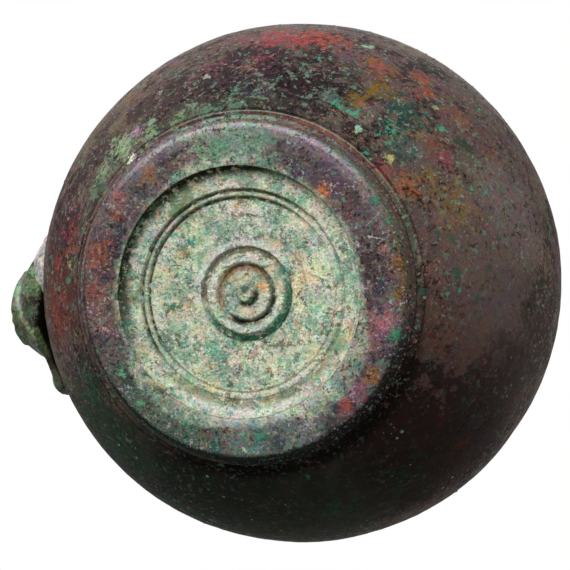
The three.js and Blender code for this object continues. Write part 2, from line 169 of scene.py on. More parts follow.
def castTogether(name, parts, voxel, rounds):  # one cast skin round overlapping closed bodies
    points = []
    faces = []
    for partPoints, partFaces in parts:
        faces += [[len(points) + i for i in face] for face in partFaces]
        points += list(partPoints)
    obj = settle(meshObject(name, points, faces))
    remesh = obj.modifiers.new("cast", "REMESH")
    remesh.mode = "VOXEL"
    remesh.voxel_size = voxel * mm
    soften = obj.modifiers.new("worn", "SMOOTH")
    soften.factor = 0.5
    soften.iterations = rounds
    return settle(evaluated(obj))


def finishPiece(obj, material, slot, *nodes):
    obj.data.materials.clear()
    obj.data.materials.append(material)
    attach(obj, "root")
    if nodes:
        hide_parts(*nodes)
    return obj


# Node trees


noiseStep = (31.7, 11.9, 23.3)  # how far one unit of shift moves a noise's place


class Tree:  # adds nodes with their links in one call
    def __init__(self, tree):
        self.tree = tree
        tree.nodes.clear()

    def add(self, kind, inputs=(), **settings):
        made = self.tree.nodes.new(kind)
        for key, value in settings.items():
            setattr(made, key, value)
        for key, value in dict(inputs).items():
            self.put(made.inputs[key], value)
        return made

    def put(self, socket, value):
        if isinstance(value, bpy.types.NodeSocket):
            self.tree.links.new(value, socket)
        else:
            socket.default_value = value

    def math(self, operation, *values):
        return self.add("ShaderNodeMath", enumerate(values), operation=operation).outputs[0]

    def vector(self, operation, *values, out=0):
        return self.add("ShaderNodeVectorMath", enumerate(values), operation=operation).outputs[out]

    def band(self, value, low, high, top=1.0):  # 0 below `low`, `top` above `high`, smooth between
        inputs = {"Value": value, "From Min": low, "From Max": high, "To Min": 0.0, "To Max": top}
        return self.add("ShaderNodeMapRange", inputs, interpolation_type="SMOOTHSTEP").outputs[0]

    def noise(self, place, size, detail=4.0, rough=0.6, shift=0.0, out=0):
        moved = self.vector("ADD", place, tuple(shift * step for step in noiseStep)) if shift else place
        inputs = {"Vector": moved, "Scale": 1 / size, "Detail": detail, "Roughness": rough}
        return self.add("ShaderNodeTexNoise", inputs).outputs[out]

    def mix(self, share, low, high, blend="MIX"):
        made = self.add("ShaderNodeMix", data_type="RGBA", blend_type=blend)
        self.put(made.inputs[0], share)
        for socket, value in ((made.inputs[6], low), (made.inputs[7], high)):
            self.put(socket, (*value, 1.0) if isinstance(value, tuple) else value)
        return made.outputs[2]


# Camera at the photograph's angle, from under the jug with the handle on the left

view = {
    "frameSize": 570,  # pixels
    "pixelsPerTangent": 3711,
    "distance": 1000,  # millimetres from the belly's middle
    "tilt": 16.5,  # degrees off the jug's axis, towards the handle
    "roll": 7.5,
    "bellyMiddle": 55,  # height in millimetres
    "bellyPixel": (301.9, 282.9),  # where the belly's middle falls in the photograph
}


def cameraAxes():
    tilt, roll = math.radians(view["tilt"]), math.radians(view["roll"])
    level = Vector((-math.cos(tilt), 0, math.sin(tilt)))
    upright = Vector((0, 1, 0))
    right = level * math.cos(roll) - upright * math.sin(roll)
    up = level * math.sin(roll) + upright * math.cos(roll)
    ahead = Vector((math.sin(tilt), 0, math.cos(tilt)))
    return right, up, ahead


def cameraPlace():
    right, up, ahead = cameraAxes()
    perPixel = view["distance"] / view["pixelsPerTangent"]
    across = (view["bellyPixel"][0] - view["frameSize"] / 2) * perPixel
    above = (view["frameSize"] / 2 - view["bellyPixel"][1]) * perPixel
    middle = Vector((0, 0, view["bellyMiddle"]))
    return middle - right * across - up * above - ahead * view["distance"]


def makeCamera():
    right, up, ahead = cameraAxes()
    data = bpy.data.cameras.new("camera")
    data.sensor_width = 36
    data.lens = view["pixelsPerTangent"] / view["frameSize"] * data.sensor_width
    data.clip_start = 0.01
    data.clip_end = 50
    camera = newObject("camera", data)
    turn = Matrix((right, up, -ahead)).transposed().to_4x4()
    camera.matrix_world = Matrix.Translation(cameraPlace() * mm) @ turn
    bpy.context.scene.camera = camera


def photoRay(pixel):
    right, up, ahead = cameraAxes()
    across = (pixel[0] - view["frameSize"] / 2) / view["pixelsPerTangent"]
    above = (view["frameSize"] / 2 - pixel[1]) / view["pixelsPerTangent"]
    return (ahead + right * across + up * above).normalized()


makeCamera()
print("camera set")

# Belly, shoulder, neck and mouth

shell = {
    "bellyRadius": shellHigh[1],
    "bellyHeight": 55,
    "wall": 1.6,
    "floor": shellLow[2],
    "seamRadius": footHigh[0],
    "flangeRadius": 29.8,
    "neckRadius": 21,
    "neckFillet": 12,
    "neckLength": 12,
    "neckRing": 1.1,
    "neckRingWidth": 3.2,
    "mouthRise": 23,
    "spoutReach": 40,
    "sideReach": 35,
    "backReach": 29,
    "pinchReach": 24,
    "backRound": 0.6,  # radians to each side over which the back of the lip opens
    "backShort": 0.75,  # and over which it keeps its short reach
    "spoutFrom": 1.6,  # where the spout begins to reach out, and over how many radians
    "spoutOver": 0.9,
    "pinchPower": 0.8,  # under 1 the lip opens quickly beside a pinch
    "lipWave": 1.6,
    "waveOver": 1.2,
    "mouthFlare": 1.9,  # above 1 the mouth opens late
    "lipThickness": 3,
    "lipFrom": 0.78,  # share of the mouth's rise at which the wall begins to thicken, and over which it does
    "lipOver": 0.2,
    "around": 260,
    "rows": {"belly": 120, "fillet": 16, "neck": 14, "mouth": 34, "lip": 9},
    "dentDepth": 0.45,  # hammered unevenness, inwards only
    "dentSize": 38,
    "dentTop": 150,  # none above this height, and how softly it ends there and over the foot's seam
    "dentFade": 25,
    "seamFade": 6,
    "pitDepth": 0.09,
    "pitSize": 3.2,
    "hollowSize": 7,
    "hollowShare": 0.6,
    "lineOut": 1.0,  # a fine raised line runs round just outside the foot
    "lineHalf": 0.3,
    "lineRise": 0.2,
}
seamShare = shell["seamRadius"] / shell["bellyRadius"]
lowerDepth = (shell["bellyHeight"] - shell["floor"]) / math.sqrt(1 - seamShare**2)
filletRadius = shell["neckRadius"] + shell["neckFillet"]
filletReach = shell["bellyRadius"] + shell["neckFillet"]
neckRoot = shell["bellyHeight"] + math.sqrt(filletReach**2 - filletRadius**2)
mouthRoot = neckRoot + shell["neckLength"]
lipHeight = mouthRoot + shell["mouthRise"]


def lobeShare(angle):
    return (1 + np.cos(3 * (angle - math.pi))) / 2


def lipReach(angle):  # 0 at the handle, pi at the spout
    turn = np.abs(angle)
    openness = np.maximum(lobeShare(angle), hump(turn / shell["backRound"]))
    side = lerp(shell["sideReach"], shell["backReach"], hump(turn / shell["backShort"]))
    reach = lerp(side, shell["spoutReach"], ease((turn - shell["spoutFrom"]) / shell["spoutOver"]))
    return lerp(shell["pinchReach"], reach, openness ** shell["pinchPower"])


def lipLevel(angle):
    return lipHeight - shell["lipWave"] * (1 - lobeShare(angle)) * ease(np.abs(angle) / shell["waveOver"])


def outerLine(angles):  # rows from the seam over the foot up to the lip, one column for each angle
    count = shell["rows"]
    shoulder = math.acos(filletRadius / filletReach)
    latitudes = np.linspace(-math.acos(seamShare), shoulder, count["belly"])
    depth = np.where(latitudes < 0, lowerDepth, shell["bellyRadius"])
    radius = list(shell["bellyRadius"] * np.cos(latitudes))
    height = list(shell["bellyHeight"] + depth * np.sin(latitudes))
    for turn in np.linspace(shoulder, 0, count["fillet"])[1:]:
        radius.append(filletRadius - shell["neckFillet"] * math.cos(turn))
        height.append(neckRoot - shell["neckFillet"] * math.sin(turn))
    for level in np.linspace(neckRoot, mouthRoot, count["neck"])[1:]:
        radius.append(shell["neckRadius"])
        height.append(level)
    ones = np.ones_like(angles)
    radii = [r * ones for r in radius]
    heights = [h * ones for h in height]
    reach = lipReach(angles) - shell["lipThickness"] / 2
    for rise in np.linspace(0, 1, count["mouth"])[1:]:
        radii.append(lerp(shell["neckRadius"], reach, rise ** shell["mouthFlare"]))
        heights.append(lerp(mouthRoot, lipLevel(angles), rise))
    return np.array(radii), np.array(heights)


def offsetLine(radii, heights, distance):
    run, rise = np.gradient(radii, axis=0), np.gradient(heights, axis=0)
    length = np.hypot(run, rise)
    return radii + rise / length * distance, heights - run / length * distance


def outerGrowth(heights):  # the ring under the neck, and the lip that is thicker than the wall
    half = shell["neckRingWidth"] / 2
    ring = shell["neckRing"] * hump((heights - neckRoot - half) / half)
    share = (heights - mouthRoot) / (lipHeight - mouthRoot)
    thicker = ease((share - shell["lipFrom"]) / shell["lipOver"])
    return ring + (shell["lipThickness"] - shell["wall"]) * thicker


def makeShell():
    angles = np.linspace(-math.pi, math.pi, shell["around"], endpoint=False)
    radii, heights = outerLine(angles)
    outR, outZ = offsetLine(radii, heights, outerGrowth(heights))
    inR, inZ = offsetLine(radii, heights, -shell["wall"])
    floorTop = shell["floor"] + shell["wall"]
    keep = inZ[:, 0] > floorTop + 0.1  # the line inside ends just above the floor
    inR, inZ = inR[keep][::-1], inZ[keep][::-1]
    lipR, lipZ = [], []
    middleR, middleZ = (outR[-1] + inR[0]) / 2, (outZ[-1] + inZ[0]) / 2
    halfR, halfZ = (outR[-1] - inR[0]) / 2, (outZ[-1] - inZ[0]) / 2
    for turn in np.linspace(0, math.pi, shell["rows"]["lip"])[1:-1]:
        lipR.append(middleR + halfR * math.cos(turn) - halfZ * math.sin(turn))
        lipZ.append(middleZ + halfZ * math.cos(turn) + halfR * math.sin(turn))
    ones = np.ones_like(angles)
    flange = shell["flangeRadius"] * ones
    rowsR = np.vstack([[flange, flange], outR, lipR, inR, [inR[-1] - shell["wall"]]])
    rowsZ = np.vstack([[floorTop * ones, shell["floor"] * ones], outZ, lipZ, inZ, [floorTop * ones]])
    obj = settle(latheObject("bellyNeckMouth", rowsR, rowsZ, angles))
    points, out = coordinates(obj), normals(obj)
    free = ease((points[:, 2] - shell["floor"] - 0.5) / shell["seamFade"])  # the foot's seam stays true
    dents = shell["dentDepth"] * np.clip(0.5 + relief(points, shell["dentSize"], 2, 1), 0, 1)
    dents *= ease((shell["dentTop"] - points[:, 2]) / shell["dentFade"])
    inside = points - (0, 0, shell["bellyHeight"])
    inside /= np.linalg.norm(inside, axis=1)[:, None]
    points -= inside * (dents * free)[:, None]
    hollows = shell["hollowShare"] * np.minimum(relief(points, shell["hollowSize"], 2, 3), 0)
    pits = shell["pitDepth"] * (relief(points, shell["pitSize"], 3, 2) + hollows)
    fromLine = np.hypot(points[:, 0], points[:, 1]) - shell["seamRadius"] - shell["lineOut"]
    outside = (points[:, 2] < shell["bellyHeight"] / 2) & (out[:, 2] < 0)
    line = shell["lineRise"] * hump(fromLine / shell["lineHalf"]) * outside
    setCoordinates(obj, points + out * (pits * free + line)[:, None])
    return obj


shellPiece = makeShell()
print("belly, neck and mouth made")

# Foot ring

foot = {
    "radius": 43.5,
    "opening": discHigh[0] + 0.04,
    "offCentre": (1.1, -0.3),  # of the opening
    "height": footHigh[2],
    "rounding": 1.8,
    "edge": 0.16,
    "seat": 4,  # width of the ring's upper face
    "around": 480,
    "rows": {"face": 16, "rounding": 9, "wall": 6, "bore": 5},
    "unevenness": 0.07,
    "bumpSize": 5,
    "grainSize": 1.6,
    "grainShare": 0.5,
    "wear": 0.6,  # share of the unevenness that the metal has lost all over
}


def makeFoot():
    angles = np.linspace(-math.pi, math.pi, foot["around"], endpoint=False)
    count = foot["rows"]
    flatEnd = foot["radius"] - foot["rounding"]
    line = [(r, 0) for r in np.linspace(foot["opening"] + foot["edge"], flatEnd, count["face"])]
    for turn in np.linspace(0, math.pi / 2, count["rounding"])[1:]:
        inwards, upwards = (foot["rounding"] * (1 - part) for part in (math.sin(turn), math.cos(turn)))
        line.append((foot["radius"] - inwards, upwards))
    for share in np.linspace(0, 1, count["wall"])[1:]:
        line.append((lerp(foot["radius"], footHigh[0], share), lerp(foot["rounding"], foot["height"], share)))
    line += [(footHigh[0] - foot["seat"], foot["height"]), (foot["opening"], foot["height"])]
    for share in np.linspace(0, 1, count["bore"])[1:]:
        line.append((foot["opening"], lerp(foot["height"], foot["edge"], share)))
    line.append((foot["opening"] + foot["edge"] * 0.3, foot["edge"] * 0.3))
    profile = np.array(line)
    ones = np.ones_like(angles)
    obj = latheObject("footRing", profile[:, :1] * ones, profile[:, 1:] * ones, angles)
    points = coordinates(obj)
    fromAxis = np.hypot(points[:, 0], points[:, 1])
    share = ease((flatEnd - fromAxis) / (flatEnd - foot["opening"]))
    points[:, :2] += share[:, None] * foot["offCentre"]
    setCoordinates(obj, points)
    points, out = coordinates(settle(obj)), normals(obj)
    grain = foot["grainShare"] * relief(points, foot["grainSize"], 2, 5)
    bumps = foot["unevenness"] * (relief(points, foot["bumpSize"], 3, 4) + grain - foot["wear"])
    setCoordinates(obj, points + out * bumps[:, None])
    return obj


footPiece = makeFoot()
print("foot ring made")

# Base disc, a turned face whose rings follow from a few radii

socketKinds = {int: "NodeSocketInt", float: "NodeSocketFloat", tuple: "NodeSocketVector"}


def sizedTree(name, sizes, takesGeometry=False):
    tree = bpy.data.node_groups.new(name, "GeometryNodeTree")
    tree.interface.new_socket("Geometry", in_out="OUTPUT", socket_type="NodeSocketGeometry")
    if takesGeometry:
        tree.interface.new_socket("Geometry", in_out="INPUT", socket_type="NodeSocketGeometry")
    for label, value in sizes.items():
        tree.interface.new_socket(label, in_out="INPUT", socket_type=socketKinds[type(value)])
    tree.interface.new_socket("Finish", in_out="INPUT", socket_type="NodeSocketMaterial")
    return tree


def runTree(obj, tree, sizes, material=None):
    modifier = obj.modifiers.new("shape", "NODES")
    modifier.node_group = tree
    for item in tree.interface.items_tree:
        if item.in_out == "INPUT" and item.name in sizes:
            modifier[item.identifier] = sizes[item.name]
        if item.in_out == "INPUT" and item.name == "Finish" and material:
            modifier[item.identifier] = material
    return evaluated(obj)


def endTree(g, geometry, start):  # real mesh, smooth, with its material
    real = g.add("GeometryNodeRealizeInstances", {0: geometry}).outputs[0]
    smoothed = g.add("GeometryNodeSetShadeSmooth", {"Geometry": real}).outputs[0]
    done = g.add("GeometryNodeSetMaterial", {"Geometry": smoothed, "Material": start.outputs["Finish"]})
    g.add("NodeGroupOutput", {0: done.outputs[0]})


disc = {
    "Radius": float(discHigh[0]) * mm,
    "Off Centre": (*(shift * mm for shift in foot["offCentre"]), 0.0),  # not turned true with the foot
    "Field": 2.2 * mm,
    "Top": float(discHigh[2]) * mm,
    "Cove Width": 2.7 * mm,
    "Cove Edge": 0.1 * mm,
    "Pair Centre": (0.85 * mm, -1.2 * mm, 0.0),
    "Pair Inner": 25.1 * mm,  # middle of each groove of the outer pair
    "Pair Outer": 27.0 * mm,
    "Pair Width": 1.2 * mm,
    "Pair Depth": 0.8 * mm,
    "Filled Side": (-0.17, -0.98, 0.0),  # where crust half fills the pair
    "Pair Fill": 0.36,
    "Ring Centre": (-0.3 * mm, -0.85 * mm, 0.0),
    "Ring Middle": 9.15 * mm,
    "Ring Half": 1.2 * mm,
    "Ring Rise": 0.55 * mm,
    "Ring Soft": 0.8 * mm,
    "Ragged": 0.7 * mm,  # how far crust and wear push the edges of the small rings about
    "Inner Start": 6.2 * mm,  # both inner grooves slope down outwards and end in a steep wall
    "Inner Floor": 7.4 * mm,
    "Outer Start": 10.2 * mm,
    "Outer Floor": 11.8 * mm,
    "Wall Run": 0.45 * mm,
    "Groove Depth": 1.0 * mm,
    "Boss Radius": 2.15 * mm,
    "Boss Tip": float(discLow[2]) * mm,
    "Crust": 0.2 * mm,
    "Rings": 200,
    "Around": 440,
}
discShares = {
    "pairEdges": (0.58, 0.1),  # of the pair's width: where a groove of it begins and is full
    "pairCut": 0.75,  # of the pair's depth
    "plateau": 0.7,  # of the ring's rise, between the boss and the inner groove
    "chips": 0.45,  # of the boss's radius
    "bossEdges": (1.1, 0.82),
    "bossBare": 0.7,
    "coarse": 2.4,  # sizes of the crust in millimetres
    "fine": 0.8,
    "fineShare": 0.6,
    "crustMiddle": 0.8,
    "crustGain": 2.2,
}


def discTree():
    tree = sizedTree("turnedDisc", disc)
    g = Tree(tree)
    start = g.add("NodeGroupInput")
    size = start.outputs
    full = 2 * math.pi

    def sheet(rowCount, radiusOf, heightOf):
        columns = g.math("ADD", size["Around"], 1.0)
        grid = g.add("GeometryNodeMeshGrid", {"Vertices X": rowCount, "Vertices Y": columns}).outputs[0]
        place = g.add("ShaderNodeSeparateXYZ", {0: g.add("GeometryNodeInputPosition").outputs[0]}).outputs
        share = g.math("ADD", place[0], 0.5)
        angle = g.math("MULTIPLY", g.math("ADD", place[1], 0.5), full)
        radius = radiusOf(share)
        x = g.math("MULTIPLY", radius, g.math("COSINE", angle))
        y = g.math("MULTIPLY", radius, g.math("SINE", angle))
        flat = g.vector("ADD", g.add("ShaderNodeCombineXYZ", {0: x, 1: y}).outputs[0], size["Off Centre"])
        rise = g.add("ShaderNodeCombineXYZ", {2: heightOf(share, radius, flat)}).outputs[0]
        spot = g.vector("ADD", flat, rise)
        return g.add("GeometryNodeSetPosition", {"Geometry": grid, "Position": spot}).outputs[0]

    def notch(radius, middle):  # 1 in the middle of a groove of the pair, 0 past its edges
        away = g.math("ABSOLUTE", g.math("SUBTRACT", radius, middle))
        edges = (g.math("MULTIPLY", size["Pair Width"], share) for share in discShares["pairEdges"])
        return g.band(away, *edges)

    def step(radius, top, floor):  # slopes from `top` down to `floor`, then back up a steep wall
        down = g.band(radius, top, floor)
        back = g.band(radius, g.math("ADD", floor, size["Wall Run"]), floor)
        return g.math("MULTIPLY", down, back)

    def underside(share, radius, flat):
        coveStart = g.math("SUBTRACT", size["Radius"], size["Cove Width"])
        turn = g.math("DIVIDE", g.math("SUBTRACT", radius, coveStart), size["Cove Width"])
        turn = g.math("MINIMUM", g.math("MAXIMUM", turn, 0.0), 1.0)
        arc = g.math("SQRT", g.math("MAXIMUM", g.math("SUBTRACT", 1.0, g.math("MULTIPLY", turn, turn)), 0.0))
        depth = g.math("SUBTRACT", size["Field"], size["Cove Edge"])
        level = g.math("MULTIPLY_ADD", depth, arc, size["Cove Edge"])
        coarse = g.noise(flat, discShares["coarse"] * mm, 5.0, 0.62)
        fine = g.noise(flat, discShares["fine"] * mm, 3.0, 0.6, shift=0.1)
        rough = g.math("MULTIPLY_ADD", fine, discShares["fineShare"], coarse)
        rough = g.math("SUBTRACT", rough, discShares["crustMiddle"])
        fromPair = g.vector("DISTANCE", flat, size["Pair Centre"], out=1)
        fromCentre = g.vector("DISTANCE", flat, size["Ring Centre"], out=1)
        fromRing = g.math("MULTIPLY_ADD", rough, size["Ragged"], fromCentre)
        towards = g.vector("DOT_PRODUCT", g.vector("NORMALIZE", flat), size["Filled Side"], out=1)
        filled = g.math("MULTIPLY_ADD", g.math("MULTIPLY", towards, size["Pair Fill"]), -1.0, 1.0)
        pairDepth = g.math("MULTIPLY", filled, g.math("MULTIPLY", size["Pair Depth"], discShares["pairCut"]))
        for cut, deep in (
            (notch(fromPair, size["Pair Inner"]), pairDepth),
            (notch(fromPair, size["Pair Outer"]), pairDepth),
            (step(fromRing, size["Inner Start"], size["Inner Floor"]), size["Groove Depth"]),
            (step(fromRing, size["Outer Start"], size["Outer Floor"]), size["Groove Depth"]),
        ):
            level = g.math("MULTIPLY_ADD", cut, deep, level)
        away = g.math("ABSOLUTE", g.math("SUBTRACT", fromRing, size["Ring Middle"]))
        outer = g.math("ADD", size["Ring Half"], g.math("MULTIPLY", size["Ring Soft"], 0.5))
        inner = g.math("SUBTRACT", size["Ring Half"], g.math("MULTIPLY", size["Ring Soft"], 0.5))
        raised = g.math("MULTIPLY", g.band(away, outer, inner), size["Ring Rise"])
        plateau = g.band(fromRing, size["Inner Floor"], size["Inner Start"])
        rise = g.math("MULTIPLY", size["Ring Rise"], discShares["plateau"])
        raised = g.math("MULTIPLY_ADD", plateau, rise, raised)
        level = g.math("SUBTRACT", level, raised)
        chips = g.math("MULTIPLY", size["Boss Radius"], discShares["chips"])
        uneven = g.math("MULTIPLY_ADD", rough, chips, fromCentre)  # the boss is chipped
        edges = (g.math("MULTIPLY", size["Boss Radius"], share) for share in discShares["bossEdges"])
        boss = g.band(uneven, *edges)
        overTip = g.math("SUBTRACT", level, size["Boss Tip"])
        level = g.math("SUBTRACT", level, g.math("MULTIPLY", boss, overTip))
        crust = g.math("MULTIPLY", rough, g.math("MULTIPLY", size["Crust"], discShares["crustGain"]))
        free = g.math("SUBTRACT", 1.0, g.math("MULTIPLY", turn, turn))
        bare = g.math("SUBTRACT", 1.0, g.math("MULTIPLY", boss, discShares["bossBare"]))
        return g.math("MULTIPLY_ADD", crust, g.math("MULTIPLY", free, bare), level)

    def lidRadius(share):  # out to the edge over the first half
        return g.math("MULTIPLY", g.math("MINIMUM", g.math("MULTIPLY", share, 2.0), 1.0), size["Radius"])

    def lidHeight(share, radius, flat):  # and down the disc's wall over the second half
        down = g.math("MAXIMUM", g.math("MULTIPLY_ADD", share, 2.0, -1.0), 0.0)
        wall = g.math("SUBTRACT", size["Top"], size["Cove Edge"])
        return g.math("SUBTRACT", size["Top"], g.math("MULTIPLY", down, wall))

    under = sheet(size["Rings"], lambda share: g.math("MULTIPLY", share, size["Radius"]), underside)
    lid = sheet(3, lidRadius, lidHeight)
    joined = g.add("GeometryNodeJoinGeometry")
    g.tree.links.new(under, joined.inputs[0])
    g.tree.links.new(lid, joined.inputs[0])
    merged = g.add("GeometryNodeMergeByDistance", {"Geometry": joined.outputs[0], "Distance": 0.0005 * mm})
    endTree(g, merged.outputs[0], start)
    return tree


def makeDisc():
    obj = newObject("baseDisc", bpy.data.meshes.new("baseDisc"))
    return settle(runTree(obj, discTree(), disc), 0.0002)


# Handle: grip, thumb rest, arms along the lip, and the leaf on the belly

handle = {
    "bed": 1.3,  # the leaf and the arms stand this far off the shell
    "gripWidth": 13,
    "gripThickness": 6,
    "gripReach": 16,
    "gripRise": 13,
    "gripStart": 6,  # above the belly's middle
    "gripEnd": 1.5,  # outside the lip and below it
    "gripFlare": (0.45, 0.2),  # wider at the leaf and at the lip: how much, and over which share of its path
    "gripSpread": (0.35, 0.16),
    "gripSwell": (0.25, 0.15),  # thicker at the leaf
    "joint": 0.16,  # share of the path that is cast with the leaf, and the gap after it
    "jointGap": 0.0018,
    "landing": 0.985,  # share of the path at which it ends on the lip
    "lipCover": 0.2,  # what reaches inside the mouth is moved this far into the lip
    "armRadius": 3.4,
    "armSweep": 58,
    "armSink": 0.35,
    "armDrop": 1.2,
    "armThinning": 0.55,
    "armClose": 0.04,  # share over which its end closes
    "armLeast": 0.5,
    "budRadius": 3.3,
    "budMiddle": 0.91,  # shares along the arm
    "budHalf": 0.09,
    "collarRise": 0.5,
    "collarMiddle": 0.79,
    "collarHalf": 0.018,
    "thumbRoot": 0.84,  # share of the grip's path
    "thumbHeight": 15,
    "thumbWidth": 11,
    "thumbLean": 5,
    "thumbBend": 1.6,
    "thumbOutline": (1.15, 0.35, 0.66),  # how its width swells and narrows upwards
    "thumbThickness": (2.4, 1.1),  # half of it, at the root and at the tip
    "voxel": 0.42,
    "unevenness": 0.08,
}
leaf = {  # sideways is positive towards the top of the photograph, heights are from the belly's middle
    "tip": -16,
    "top": 18,
    "width": 43.6,
    "broadest": 0.4,
    "shoulder": 0.4,
    "plate": 2.4,  # thickness in the middle and at the edge
    "edge": 1.2,
    "edgeTaper": 6,
    "dome": 7.0,
    "domeHeight": -5,
    "domeNear": 17.5,  # half width of the dome on the upper side and on the lower side
    "domeFar": 10.8,
    "domeFall": 11.5,
    "domeRise": 30,
    "lobeRise": 2.0,
    "lobeSide": -18.2,
    "lobeHeight": -5,
    "lobeRadius": 3.4,
    "hollowDepth": 1.0,
    "hollowSide": -2.5,
    "hollowHalf": 8.5,
    "hollowEnd": 2,  # none above this height, full so much lower
    "hollowFade": 8,
    "veinDepth": 0.5,
    "outline": 0.85,  # under 1 the sides are fuller
    "domeSides": 1.1,
    "least": 0.03,  # share of the width that the tip keeps
    "voxel": 0.36,
}


def gripPoints():
    belly, reach = shell["bellyRadius"], shell["bellyRadius"] + handle["gripReach"]
    lip, rise = float(lipReach(np.array(0.0))), lipHeight - shell["bellyHeight"]
    arch = handle["gripRise"]
    places = [
        (belly + handle["bed"] + handle["gripThickness"] * 0.85, handle["gripStart"]),
        (lerp(belly, reach, 0.62), rise * 0.26),
        (reach, rise * 0.55),
        (reach - 3, rise * 0.84),
        (lerp(lip, reach, 0.62), rise + arch * 0.75),
        (lerp(lip, reach, 0.25), rise + arch * 0.85),
        (lip + handle["gripEnd"], rise - handle["gripEnd"]),
    ]
    return [np.array((x, 0.0, shell["bellyHeight"] + z)) for x, z in places]


def smoothCurve(places, steps=60):  # a centripetal curve through the points, even along its length
    ends = [2 * places[0] - places[1], *places, 2 * places[-1] - places[-2]]
    line = []
    for p0, p1, p2, p3 in zip(ends, ends[1:], ends[2:], ends[3:]):
        d0, d1, d2 = (math.sqrt(np.linalg.norm(b - a)) for a, b in ((p0, p1), (p1, p2), (p2, p3)))
        t1 = ((p1 - p0) / d0 - (p2 - p0) / (d0 + d1) + (p2 - p1) / d1) * d1
        t2 = ((p2 - p1) / d1 - (p3 - p1) / (d1 + d2) + (p3 - p2) / d2) * d1
        for t in np.linspace(0, 1, steps, endpoint=False):
            line.append(p1 + t1 * t + (3 * (p2 - p1) - 2 * t1 - t2) * t**2 + (2 * (p1 - p2) + t1 + t2) * t**3)
    line.append(places[-1])
    line = np.array(line)
    length = np.concatenate([[0], np.cumsum(np.linalg.norm(np.diff(line, axis=0), axis=1))])
    return line, length / length[-1]


gripLine, gripShare = smoothCurve(gripPoints())


def gripAt(share):
    return np.array([np.interp(share, gripShare, gripLine[:, k]) for k in range(3)])


gripHalf = [  # one side of the section from its back ridge on, in half widths and half thicknesses
    (0, 1.25), (0.1, 1.12), (0.2, 0.85), (0.4, 0.76), (0.62, 0.72), (0.85, 0.56), (0.97, 0.3),
    (1.0, 0), (0.95, -0.3), (0.8, -0.56), (0.6, -0.72), (0.3, -0.82), (0, -0.85),
]
gripSection = [(-across, out) for across, out in gripHalf] + gripHalf[-2:0:-1]


def gripRun(start, stop, steps):
    rings = []
    for share in np.linspace(start, stop, steps):
        along = gripAt(min(1, share + 0.004)) - gripAt(max(0, share - 0.004))
        along /= np.linalg.norm(along)
        outward = np.array((along[2], 0, -along[0]))
        (flare, flareOver), (spread, spreadOver) = handle["gripFlare"], handle["gripSpread"]
        swell, swellOver = handle["gripSwell"]
        wider = 1 + flare * hump(share / flareOver) + spread * hump((share - 1) / spreadOver)
        half = handle["gripWidth"] / 2 * wider
        thick = handle["gripThickness"] / 2 * (1 + swell * hump(share / swellOver))
        middle = gripAt(share)
        rings.append([middle + (0, across * half, 0) + outward * out * thick for across, out in gripSection])
    return tubeParts(rings)


def roundTube(points, radii, sides=16):
    rings = []
    for i, point in enumerate(points):
        along = points[min(len(points) - 1, i + 1)] - points[max(0, i - 1)]
        along = along / np.linalg.norm(along)
        level = np.cross((0, 0, 1), along)
        level = level / np.linalg.norm(level)
        rise = np.cross(along, level)
        turns = np.linspace(0, 2 * math.pi, sides, endpoint=False)
        rings.append([point + radii[i] * (level * math.cos(t) + rise * math.sin(t)) for t in turns])
    return tubeParts(rings)


def lipArm(side):
    points, radii = [], []
    for share in np.linspace(0, 1, 48):
        angle = side * math.radians(handle["armSweep"]) * share
        fromBud = (share - handle["budMiddle"]) / handle["budHalf"]
        bud = handle["budRadius"] * math.sqrt(max(0, 1 - fromBud**2))
        collar = handle["collarRise"] * float(hump((share - handle["collarMiddle"]) / handle["collarHalf"]))
        closing = float(ease((1 - share) / handle["armClose"]))
        bare = handle["armRadius"] * lerp(1, handle["armThinning"], share) * closing + collar
        radius = max(handle["armLeast"], bare, bud)
        away = float(lipReach(np.array(angle))) + handle["bed"] + handle["armSink"] * radius
        height = float(lipLevel(np.array(angle))) - handle["armDrop"]
        points.append(np.array((away * math.cos(angle), away * math.sin(angle), height)))
        radii.append(radius)
    return roundTube(points, radii)


def thumbRest():
    base = gripAt(handle["thumbRoot"])
    rings = []
    stretch, waist, fullness = handle["thumbOutline"]
    for share in np.linspace(0, 1, 22):
        middle = base + (handle["thumbLean"] * share ** handle["thumbBend"], 0, handle["thumbHeight"] * share)
        across = 1 - (stretch * share - waist) ** 2 / fullness
        half = handle["thumbWidth"] / 2 * math.sqrt(max(0.03, across))
        thick = lerp(*handle["thumbThickness"], share)
        turns = np.linspace(0, 2 * math.pi, 20, endpoint=False)
        rings.append([middle + (thick * math.cos(t), half * math.sin(t), 0) for t in turns])
    return tubeParts(rings)


def sinkIntoLip(points):  # what would show inside the mouth goes into the lip's own thickness
    angle = np.arctan2(points[:, 1], points[:, 0])
    radius = np.hypot(points[:, 0], points[:, 1])
    rise = np.clip((points[:, 2] - mouthRoot) / (lipLevel(angle) - mouthRoot), 0, 1)
    middle = lipReach(angle) - shell["lipThickness"] / 2
    wall = lerp(shell["neckRadius"], middle, rise ** shell["mouthFlare"]) + handle["lipCover"]
    inside = (radius < wall) & (points[:, 2] < lipHeight + 0.6)
    share = np.where(inside, wall / np.maximum(radius, 0.001), 1.0)
    return points * np.stack([share, share, np.ones_like(share)], axis=1)


def wornSkin(points, fine, broad, seed):  # slight unevenness of two sizes
    return handle["unevenness"] * (relief(points, fine, 3, seed) + relief(points, broad, 2, seed + 1))


def makeHandle():
    grip = gripRun(handle["joint"] + handle["jointGap"], handle["landing"], 150)
    parts = [grip, lipArm(1), lipArm(-1), thumbRest()]
    obj = castTogether("handleCasting", parts, handle["voxel"], 5)
    points, out = coordinates(obj), normals(obj)
    setCoordinates(obj, sinkIntoLip(points + out * wornSkin(points, 4, 12, 6)[:, None]))
    return obj


